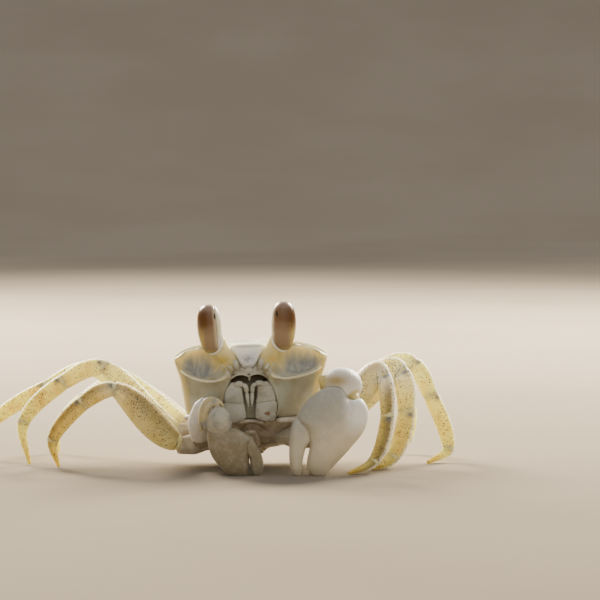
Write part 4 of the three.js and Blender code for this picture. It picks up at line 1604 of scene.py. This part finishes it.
# ------------------------------------------------------------------ mouth and feelers
@dataclass
class Mouth:
    """The plates that close the mouth, each with a jointed feeler folded beside the midline."""

    voxel: float = 0.13
    thickness: float = 0.85
    ischium: Path = ((3.1, -12.9, 11.5), (3.5, -13.3, 13.0), (3.7, -13.5, 14.7), (3.7, -13.5, 16.1))
    ischium_half: Stops = ((0, 2.2), (0.33, 2.5), (0.66, 2.5), (1, 2.4))
    merus: Path = ((3.7, -13.55, 15.6), (3.6, -13.7, 18.0), (3.25, -13.7, 19.4), (3.0, -13.5, 20.6))
    merus_half: Stops = ((0, 2.4), (0.33, 2.15), (0.66, 1.75), (1, 1.1))
    # line, half size and how much of it is left at the far end
    palp: tuple[tuple[Path, float, float], ...] = (
        (((3.4, -14.0, 19.9), (2.4, -14.4, 20.4), (1.5, -14.6, 20.2)), 0.66, 0.9),
        (((1.5, -14.6, 20.2), (0.85, -14.6, 19.6), (0.62, -14.6, 18.3)), 0.56, 0.9),
        (((0.62, -14.6, 18.3), (0.52, -14.5, 16.8), (0.34, -14.2, 14.9)), 0.46, 0.4),
    )
    palp_mesh: BarMesh = (20, 10, 0.12)
    inner_edge: Stops = ((12, 1.0), (14.2, 1.3), (16.5, 1.75), (18.8, 1.95))
    lip: Path = ((0, -14.2, 22.7), (0, -14.4, 23.2), (0, -14.4, 24.2))
    septum: Path = ((0.1, -14.0, 22.4), (0.1, -14.1, 21.6), (0.1, -13.9, 20.9))
    cover: Path = ((2.5, -14.8, 23.4), (2.85, -15.1, 24.7), (2.95, -14.8, 26.0))
    arch: Path = (
        (0.1, -14.4, 21.9), (0.7, -14.6, 22.35), (1.8, -14.7, 22.6), (3.0, -14.6, 22.35),
        (4.3, -14.4, 21.5),
    )

    def build(self) -> None:
        """Builds both outer mouthparts and the plate above them."""
        paint = plate_finish(Finishes.MOUTH.value, "C2C1B4", "A6A392", 0.8)
        for side in SIDES:
            self.mouthpart(side, paint)
        self.epistome(paint)

    def plate(self, stops: Path, across: Stops, thickness: float, side: int = 1) -> Piece:
        """One swollen plate along a line, broad across the face.

        Args:
            stops: The line on the left side.
            across: The plate's half widths by share.
            thickness: Its half thickness at the middle.
            side: The sign of its side.

        Returns:
            The plate.
        """
        piece = bar("plate", 32, 20, 0.07)
        x, y, share = points(piece).T
        set_points(piece, np.column_stack([x, np.sign(y) * np.abs(y) ** 0.8, share]))
        through = ((0, thickness * 0.8), (0.5, thickness), (1, thickness * 0.8))
        return lay(piece, Line(mirrored(stops, side)), across, through)

    def mouthpart(self, side: int, paint: Material) -> None:
        """One outer mouthpart.

        Args:
            side: The sign of its side.
            paint: The plates' material.
        """
        left = side > 0
        parts = [
            self.plate(self.ischium, self.ischium_half, self.thickness, side),
            self.plate(self.merus, self.merus_half, self.thickness, side),
        ]
        for stops, width, left_over in self.palp:
            half = ((0, width * 0.9), (0.4, width), (1, width * left_over))
            parts.append(rod("palp", self.palp_mesh, stops, half, side=side))
        piece = join(parts, f"mouthpart_{SIDES[side]}")
        refine(piece, self.voxel, 2)
        co = points(piece)
        x, y, z = side * co[:, 0], co[:, 1], co[:, 2]
        furrow = bell((x - at(self.inner_edge, z), 0.5, 0.16))
        furrow = furrow * ease(-13.7, -14.1, y) * ease(19.5, 18.5, z)
        seam = bell((z - 0.14 * (x - 3.5), 15.9, 0.12))
        press(piece, 0.05 * furrow + 0.08 * seam)
        # painted shade: plates that lie further back are darker, and darkest in the left gap beside
        # the feeler
        deep = ease(-13.5, -12.9, y)
        warm = ease(18, 13, z) * (0.9 if left else 0.35) + (0.35 if left else 0)
        if left:
            brown = bell((x, 1.5, 0.35)) * ease(16, 17.5, z) * ease(20.2, 19.4, z)
            deep = np.maximum(deep, 1.6 * brown)
        mark(piece, "plate", 0.3 * seam + 0.1 * furrow, deep * 0.5, warm)
        present(piece, paint, [f"maxilliped_{SIDES[side]}"], LEANING)

    def epistome(self, paint: Material) -> None:
        """The plate under the shield, with arches, the short feelers' covers and two small pits.

        Args:
            paint: The plates' material.
        """
        parts = [
            self.plate(self.lip, ((0, 3.7), (0.4, 3.9), (1, 2.4)), 0.6),
            rod("septum", (12, 8, 0.1), self.septum, ((0, 0.3), (1, 0.16)), ((0, 0.35), (1, 0.2))),
        ]
        for side in SIDES:
            across, through = ((0, 0.5), (0.5, 0.7), (1, 0.5)), ((0, 0.45), (0.5, 0.55), (1, 0.45))
            parts.append(rod("cover", (24, 12, 0.2), self.cover, across, through, side))
            half = ((0, 0.2), (0.5, 0.3), (1, 0.2))
            parts.append(rod("arch", (16, 16, 0.08), self.arch, half, side=side))
        piece = join(parts, "epistome_plate")
        refine(piece, self.voxel, 2)
        x, y, z = points(piece).T
        pits = sum(bell((x - 0.1, 0.82 * side, 0.3), (z, 24.05, 0.22)) for side in SIDES)
        pits = pits * (y < -14.3)
        lines = bell((np.abs(x), 1.95, 0.12)) * ease(22.9, 23.4, z)
        press(piece, 0.35 * pits)
        # the pits darkened with painted shade
        mark(piece, "plate", 0.45 * lines, np.clip(1.3 * pits, 0, 1), 0.2)
        present(piece, paint, ["epistome"], LEANING)


@dataclass
class Feelers:
    """The short feelers at the inner corners of the eyes' hollows, with their fine hairs."""

    voxel: float = 0.1
    # line and half size of each joint
    joints: tuple[tuple[Path, float], ...] = (
        (((4.3, -14.7, 21.9), (4.7, -15.4, 22.8), (5.0, -15.2, 23.7)), 0.62),
        (((3.9, -14.8, 23.4), (4.2, -15.3, 24.1), (4.7, -15.1, 24.7)), 0.5),
        (((4.9, -15.4, 23.5), (5.6, -16.0, 24.4), (6.5, -16.5, 25.2)), 0.2),
    )
    hairs: int = 16
    hair_half: Stops = ((0, 0.05), (1, 0.015))
    hair_bow: Point = (0, -0.12, 0.06)
    # lowest place and reach of the roots, and the sweep's limits, each in x, y and z
    hair_roots: Stops = ((3.9, 1.2), (-15.5, -0.2), (21.9, 2.4))
    hair_sweep: Stops = ((-0.9, 0.7), (-0.7, -0.2), (-0.8, 0.8))
    hair_length: tuple[float, float] = (0.7, 1.2)
    seed: int = 7

    def build(self) -> None:
        """Builds each feeler and its fringe of hairs, one hair modelled and copied."""
        paint = plate_finish(Finishes.MOUTH.value, "D2D0BE", "B5B09A", 0.5)
        hair_paint = soft_finish(Finishes.HAIR.value, "B9A77C", "8A7750", 900)
        draw = random.Random(self.seed)
        for side, name in SIDES.items():
            parts = []
            for stops, radius in self.joints:
                half = ((0, radius * 0.8), (0.4, radius), (1, radius * 0.55))
                parts.append(rod("joint", (16, 10, 0.15), stops, half, side=side))
            piece = join(parts, f"feeler_{name}")
            refine(piece, self.voxel, 1)
            mark(piece, "plate", 0, 0, 0.4)
            present(piece, paint, [f"antenna_{name}"], LEANING)
            strands = [self.hair(draw, side) for _ in range(self.hairs)]
            fringe = join(strands, f"feeler_hairs_{name}")
            present(fringe, hair_paint, [], LEANING)

    def hair(self, draw: random.Random, side: int) -> Piece:
        """One hair beside a feeler.

        Args:
            draw: What draws its place and sweep.
            side: The sign of its side.

        Returns:
            The hair.
        """
        start = np.array([low + draw.random() * reach for low, reach in self.hair_roots])
        sweep = np.array([draw.uniform(*span) for span in self.hair_sweep])
        tip = start + sweep * draw.uniform(*self.hair_length)
        bow = (start + tip) / 2 + self.hair_bow
        return rod("hair", (5, 3, 0.0), (start, bow, tip), self.hair_half, side=side)


# ------------------------------------------------------------------ claws
@dataclass(frozen=True)
class Pebble:
    """A flattened rounded body whose outline, seen from the front, is a smooth closed curve."""

    outline: tuple[tuple[float, float], ...]
    y: float
    thickness: float
    sides: int = 96
    rings: int = 24
    fullness: float = 0.5
    last_ring: float = math.radians(86)
    outline_points: int = 1200
    overlap: int = 3

    def edge(self) -> Array:
        """The closed outline, on stops that overlap so that it has no kink.

        Returns:
            Close places on it, one row each.
        """
        loop = [(x, 0.0, z) for x, z in self.outline]
        around = Line([*loop[-self.overlap :], *loop, *loop[: self.overlap]])
        first, last = (
            int(self.outline_points * stop / around.spans)
            for stop in (self.overlap, self.overlap + len(loop))
        )
        return around.even(self.outline_points)[first:last]

    def build(self, name: str) -> Piece:
        """Models the body: a bar whose rings take the outline, drawn in towards both faces.

        Args:
            name: Its name.

        Returns:
            The body.
        """
        piece = bar(name, self.sides, self.rings, 0.0)
        x, y, share = points(piece).T
        fine = self.edge()
        length = np.concatenate([[0], np.cumsum(np.linalg.norm(np.diff(fine, axis=0), axis=1))])
        turn = (np.arctan2(y, x) / (2 * np.pi)) % 1
        edge = np.column_stack([np.interp(turn * length[-1], length, column) for column in fine.T])
        middle = fine.mean(0)
        angle = (share * 2 - 1) * self.last_ring
        co = middle + (edge - middle) * (np.cos(angle) ** self.fullness)[:, None]
        co[:, 1] = self.y + np.sin(angle) * self.thickness
        set_points(piece, co)
        face_outwards(piece)
        return piece


@dataclass(frozen=True)
class Fold:
    """A rounded fold of yellowish skin on a wrist."""

    stops: Path
    radius: float

    def build(self) -> Piece:
        """Models the fold.

        Returns:
            Its bar.
        """
        ends = 0.7 * self.radius
        across, through = ((0, ends), (0.5, self.radius), (1, ends)), ((0, self.radius),)
        return rod("fold", (16, 30, 0.1), self.stops, across, through)


@dataclass(frozen=True)
class Claw:
    """One claw: its arm, wrist, palm and moving finger, closed on each other.

    The wrist's amber tint has its middle in x and in z and a half width, and its yellow patch has
    a middle and a half width in each. A socketed palm is cut clear of the wrist, and otherwise the
    wrist is cut clear of the palm.
    """

    side: int
    palm: Pebble
    finger: Pebble
    wrist_centre: Point
    wrist_half: Point
    folds: tuple[Fold, ...]
    amber: Point
    upper: str
    lower: str
    greyness: float
    socketed: bool
    crease: tuple[tuple[float, float], ...] = ()
    tip_height: float = 0.0
    yellowness: float = 0.4
    paleness: float = 0.2
    voxel: float = 0.2
    arm_voxel: float = 0.24
    patch: tuple[tuple[float, float], ...] = ()

    def build(self) -> None:
        """Builds the palm, finger, wrist, arm and base."""
        paint = claw_finish(f"claw_{SIDES[self.side]}_porcelain", self.upper, self.lower)
        palm, finger = self.palm.build("palm"), self.finger.build("finger")
        for piece in (palm, finger):
            refine(piece, self.voxel, 3)
            if piece is palm and self.crease:
                self.engrave(palm)
            trim(piece)
        pieces = {"palm": palm, "finger": finger, "carpus": self.wrist(palm)}
        for part in ("arm", "base"):
            pieces[part] = cad_copy(f"claw_{SIDES[self.side]}_{part}", part)
            refine(pieces[part], self.arm_voxel, 14)
        for part, piece in pieces.items():
            node = f"claw_{SIDES[self.side]}_{part}"
            piece.name = node.replace("carpus", "wrist") + "_shell"
            self.tell(piece, part)
            present(piece, paint, [node])

    def engrave(self, palm: Piece) -> None:
        """Cuts the crease between the palm and its fixed finger.

        Args:
            palm: The palm.
        """
        flat = (1, 0.4, 1)
        path = Line([(x, self.palm.y - 3.0, z) for x, z in self.crease]).even(30)
        press(palm, 0.4 * closeness(points(palm) * flat, path * flat, 0.55))

    def wrist(self, palm: Piece) -> Piece:
        """The swollen wrist with its folds. It or the palm is cut clear of the other.

        Args:
            palm: The palm.

        Returns:
            The wrist.
        """
        bpy.ops.mesh.primitive_uv_sphere_add(segments=48, ring_count=32, radius=1)
        ball = bpy.context.object
        set_points(ball, points(ball) * np.array(self.wrist_half) + np.array(self.wrist_centre))
        if self.socketed:
            cut(palm, ball)
        else:
            cut(ball, palm)
        ball = join([ball, *(fold.build() for fold in self.folds)], "wrist")
        refine(ball, self.voxel, 3)
        return ball

    def tell(self, piece: Piece, part: str) -> None:
        """Stores the height, amber patch, greyness, paleness and yellow skin of a piece's points.

        Args:
            piece: The piece.
            part: Which part of the claw it is.
        """
        co = points(piece)
        x, z = co[:, 0], co[:, 2]
        height = (z + 0.35 * x * -self.side) / 20 + self.tip_height
        amber, grey, yellow = 0.0, 0.1, 0.0
        pale = {"carpus": self.paleness, "arm": 0.7}.get(part, 0.0)
        if part == "carpus":
            amber_x, amber_z, width = self.amber
            amber = bell((x, amber_x, width), (z, amber_z, width * 0.45))
            grey = self.greyness
            yellow = self.yellowness * np.max(
                [closeness(co, Line(fold.stops).even(30), 0.4, fold.radius) for fold in self.folds],
                axis=0,
            )
            if self.patch:
                patch = bell(*((way, *hump) for way, hump in zip((x, z), self.patch)))
                yellow = np.maximum(yellow, patch)
        elif part == "palm":
            pale = 0.95 * ease(20.0, 24.0, self.side * x) * ease(8, 13, z)
        mark(piece, "claw", height, amber, grey)
        mark(piece, "claw_part", pale, yellow)


LEFT_CLAW = Claw(
    side=1,
    palm=Pebble(
        ((10.6, 12.9), (12.6, 16.5), (16.6, 19.7), (20.4, 19.9), (22.1, 17.7), (23.2, 17.1),
         (25.1, 17.5), (26.8, 14.8), (26.1, 10.6), (22.6, 6), (18.2, 1.2), (16.6, -0.6),
         (14.9, -0.6), (13.1, 1.0), (12.9, 3.4), (13.4, 6), (13.2, 9), (11.8, 11.8)),
        -21.6, 3.3,
    ),
    finger=Pebble(
        ((10.5, 13.3), (9.4, 11.4), (8.95, 8), (8.9, 3.2), (9.8, 0.1), (10.8, -0.5), (11.6, 0.8),
         (12, 3.6), (12.7, 6.4), (14, 8.5), (13.4, 11.6), (12, 13.2)),
        -21.6, 2.4, 64, 18,
    ),
    wrist_centre=(20.7, -17.7, 20.2),
    wrist_half=(4.9, 3.9, 4.1),
    folds=(
        Fold(((21.6, -18.6, 19.4), (23.4, -19.4, 17.9), (23.9, -20.6, 16.6)), 1.5),
        Fold(((16.4, -18.6, 22.6), (16.2, -19.2, 21.4), (16.6, -19.2, 20.0)), 0.7),
    ),
    amber=(19.6, 21.5, 3.4),
    upper="AEAB9E",
    lower="E4D8B8",
    greyness=0.1,
    socketed=False,
    crease=((21.4, 18.6), (22.6, 16.9), (23.0, 15.4), (22.6, 13.8)),
    tip_height=0.25,
    yellowness=0.9,
    paleness=0.8,
    patch=((16.3, 1.1), (20.9, 2.2)),
)
RIGHT_CLAW = Claw(
    side=-1,
    palm=Pebble(
        ((-9.6, 10.4), (-9.6, 7), (-8.6, 4.1), (-6.2, 1.2), (-4.2, -0.5), (-1.0, -0.5), (-0.2, 1.4),
         (-0.2, 4), (0.1, 7.4), (0.4, 8.3), (-2, 10), (-3.5, 10.7), (-5, 10.7), (-7.2, 11)),
        -21.4, 2.6,
    ),
    finger=Pebble(
        ((0.2, 8.9), (1, 7.6), (2.15, 5.6), (2.8, 4.1), (3.05, 2.4), (2.3, -0.4), (1.1, -0.5),
         (0.2, 1.2), (-0.3, 4.2), (-1.6, 6), (-1.6, 8.2)),
        -21.4, 1.9, 56, 16,
    ),
    wrist_centre=(-7.0, -21.4, 11.8),
    wrist_half=(2.85, 2.7, 3.9),
    folds=(
        Fold(((-10.15, -20.8, 10.0), (-10.4, -20.9, 13.2), (-9.6, -20.9, 15.4), (-8.4, -20.8, 16.2),
              (-7.0, -20.6, 15.9)), 0.62),
        Fold(((-11.0, -19.6, 9.8), (-11.3, -19.8, 13.2), (-10.6, -19.8, 15.9), (-9.2, -19.8, 17.2),
              (-7.3, -19.6, 16.7), (-5.9, -19.4, 15.2)), 0.68),
    ),
    amber=(-10.6, 14.5, 0.1),
    # painted shade: the right claw's tints are darkened, most of all the lower one
    upper="A8A288",
    lower="8F8264",
    greyness=0.8,
    socketed=True,
)


@dataclass
class Claws:
    """The larger left claw and the smaller right one."""

    pair: tuple[Claw, Claw] = (LEFT_CLAW, RIGHT_CLAW)

    def build(self) -> None:
        """Builds both claws."""
        for claw in self.pair:
            claw.build()


# ------------------------------------------------------------------ underside
@dataclass
class Belly:
    """The breast plates under the body, and the narrow tail folded forward over them."""

    breast_voxel: float = 0.32
    tail_voxel: float = 0.26
    # line and half size of the skirts that close the front below the mouth
    skirts: tuple[tuple[Path, float], ...] = (
        (((0, -12.2, 11.6), (1.6, -12.3, 11.4), (3.4, -12.0, 11.0)), 0.6),
        (((5.6, -12.3, 11.55), (9, -12.45, 11.8), (12.6, -11.5, 12.0), (15.2, -8.8, 12.1)), 0.8),
    )
    breast_seams: tuple[float, ...] = (-6.4, -2.2, 2.0, 6.0, 9.6)
    tail_seams: tuple[float, ...] = (14.2, 13.2, 10.8, 7.6, 4.2, 0.8, -3.6, -7.0)
    arc: Path = (
        (-2.6, -10, 8.6), (-1.87, -10.2, 9.6), (-1.06, -10.6, 10.4), (0, -10.9, 10.9),
        (1.57, -10.8, 10.7), (2.9, -10.4, 9.8), (4.0, -9.8, 8.8), (6.5, -9, 7.6),
    )

    def build(self) -> None:
        """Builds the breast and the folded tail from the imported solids."""
        paint = plate_finish(Finishes.BELLY.value, "D6CCB8", "AEA18A", 0.6)
        self.breast(paint)
        self.tail(paint)

    def breast(self, paint: Material) -> None:
        """The breast plates, with the skirts that close their front.

        Args:
            paint: The plates' material.
        """
        parts = [cad_copy("sternum", "breast_plates")]
        for stops, radius in self.skirts:
            half = ((0, radius),)
            parts += [rod("skirt", (16, 30, 0.1), stops, half, side=side) for side in SIDES]
        piece = join(parts, "breast_plates")
        refine(piece, self.breast_voxel, 14)
        self.sag(piece)
        co = points(piece)
        x, y, _ = co.T
        bent = y - 0.12 * np.abs(x)
        seams = np.max([bell((bent, place, 0.3)) for place in self.breast_seams], axis=0)
        seams = seams * ease(0.2, -0.4, normals(piece)[:, 2]) * ease(14, 11, np.abs(x))
        flat = (1, 0.6, 1)
        arc = Line(self.arc).even(60)
        seams = np.maximum(seams, closeness(co * flat, arc * flat, 0.24))
        press(piece, 0.25 * seams)
        mark(piece, "plate", 0.75 * seams, 0, 0.5)
        present(piece, paint, ["sternum"])

    def tail(self, paint: Material) -> None:
        """The folded tail, with a seam between its segments.

        Args:
            paint: The plates' material.
        """
        piece = cad_copy("abdomen", "folded_tail")
        refine(piece, self.tail_voxel, 6)
        self.sag(piece)
        y = points(piece)[:, 1]
        seams = np.max([bell((y, place, 0.26)) for place in self.tail_seams], axis=0)
        press(piece, 0.14 * seams)
        mark(piece, "plate", 0.6 * seams, 0, 0.4)
        present(piece, paint, ["abdomen"])

    def sag(self, piece: Piece) -> None:
        """Lets the front of the belly hang lower.

        Args:
            piece: The breast or the tail.
        """
        co = points(piece)
        co[:, 2] -= 0.9 * ease(10, 7, co[:, 2]) * ease(3, -6, co[:, 1])
        set_points(piece, co)


# ------------------------------------------------------------------ studio
@dataclass(frozen=True)
class Lamp:
    """A soft square lamp: where it stands and what it faces, in metres, its side and its watts."""

    name: str
    place: Point
    aim: Point
    size: float
    power: float
    colour: str

    def build(self) -> None:
        """Sets up the lamp, out of the camera's sight."""
        light = bpy.data.lights.new(self.name, "AREA")
        light.size, light.energy, light.color = self.size, self.power, tint(self.colour)[:3]
        lamp = bpy.data.objects.new(self.name, light)
        bpy.context.scene.collection.objects.link(lamp)
        lamp.location = self.place
        lamp.rotation_euler = (Vector(self.aim) - lamp.location).to_track_quat("-Z", "Y").to_euler()
        lamp.visible_camera = False


@dataclass
class Studio:
    """A pale floor that curves up far away, a soft sky, and lamps behind and before the crab."""

    half_width: float = 3.0
    cells: int = 90
    flat_radius: float = 1.3
    rise: float = 0.3
    sky: str = "F2F6FF"
    sky_strength: float = 0.62
    lamps: tuple[Lamp, ...] = (
        Lamp("lamp_behind_right", (-0.38, 0.6, 0.44), (0, 0, 0.02), 0.3, 26.0, "FFF4E2"),
        Lamp("lamp_behind_left", (0.42, 0.56, 0.42), (0, 0, 0.02), 0.3, 24.0, "FFF4E2"),
        Lamp("lamp_before", (0.35, -0.9, 0.4), (0, 0, 0.015), 1.6, 4.0, "FFFAF0"),
        Lamp("lamp_backdrop", (0, 1.2, 1.0), (0, 2.3, 0.2), 1.2, 3.5, "FFF4E6"),
    )
    aim: Point = (0.0, -10.0, 15.0)
    distance: float = 700.0
    tilt: float = 5.0
    focal_pixels: float = 3033.0
    frame_pixels: float = 600.0
    aim_pixel: tuple[float, float] = (250.0, 405.0)
    sensor: float = 36.0

    def build(self) -> None:
        """Makes the floor, the sky, the lamps and the camera."""
        self.floor()
        world = bpy.data.worlds.new("studio")
        world.use_nodes = True
        bpy.context.scene.world = world
        sky = world.node_tree.nodes["Background"].inputs
        sky["Color"].default_value = tint(self.sky)
        sky["Strength"].default_value = self.sky_strength
        for lamp in self.lamps:
            lamp.build()
        self.camera()

    def floor(self) -> None:
        """Models the floor and curves it up past its flat middle."""
        bpy.ops.mesh.primitive_grid_add(
            x_subdivisions=self.cells, y_subdivisions=self.cells, size=2 * self.half_width
        )
        floor = bpy.context.object
        floor.name = "studio_floor"
        co = points(floor)
        radius = np.linalg.norm(co[:, :2], axis=1)
        co[:, 2] = self.rise * np.maximum(0, radius - self.flat_radius) ** 2
        set_points(floor, co)
        floor.data.materials.append(soft_finish(Finishes.FLOOR.value, "988D7C", "928776", 6))
        pick(floor)
        bpy.ops.object.shade_smooth()

    def camera(self) -> None:
        """Sets the camera a little above the crab and well before it."""
        low = math.radians(self.tilt)
        away = Vector((0, -math.cos(low), math.sin(low))) * self.distance
        yaw = math.atan((self.frame_pixels / 2 - self.aim_pixel[0]) / self.focal_pixels)
        pitch = math.atan((self.aim_pixel[1] - self.frame_pixels / 2) / self.focal_pixels) - low
        across, ahead = math.sin(yaw) * math.cos(pitch), math.cos(yaw) * math.cos(pitch)
        look = Vector((across, ahead, math.sin(pitch)))
        lens = bpy.data.cameras.new("camera")
        lens.sensor_width = self.sensor
        lens.lens = self.focal_pixels / self.frame_pixels * self.sensor
        camera = bpy.data.objects.new("camera", lens)
        bpy.context.scene.collection.objects.link(camera)
        camera.location = TO_FRAME @ (Vector(self.aim) + away)
        camera.rotation_euler = look.to_track_quat("-Z", "Y").to_euler()
        bpy.context.scene.camera = camera


ASSEMBLIES = (WalkingLegs, Shell, Eyes, Mouth, Feelers, Claws, Belly, Studio)


def main() -> None:
    """Builds the crab and the studio."""
    logging.basicConfig(level=logging.INFO, format="%(message)s")
    for assembly in ASSEMBLIES:
        assembly().build()


if __name__ == "__main__":
    main()
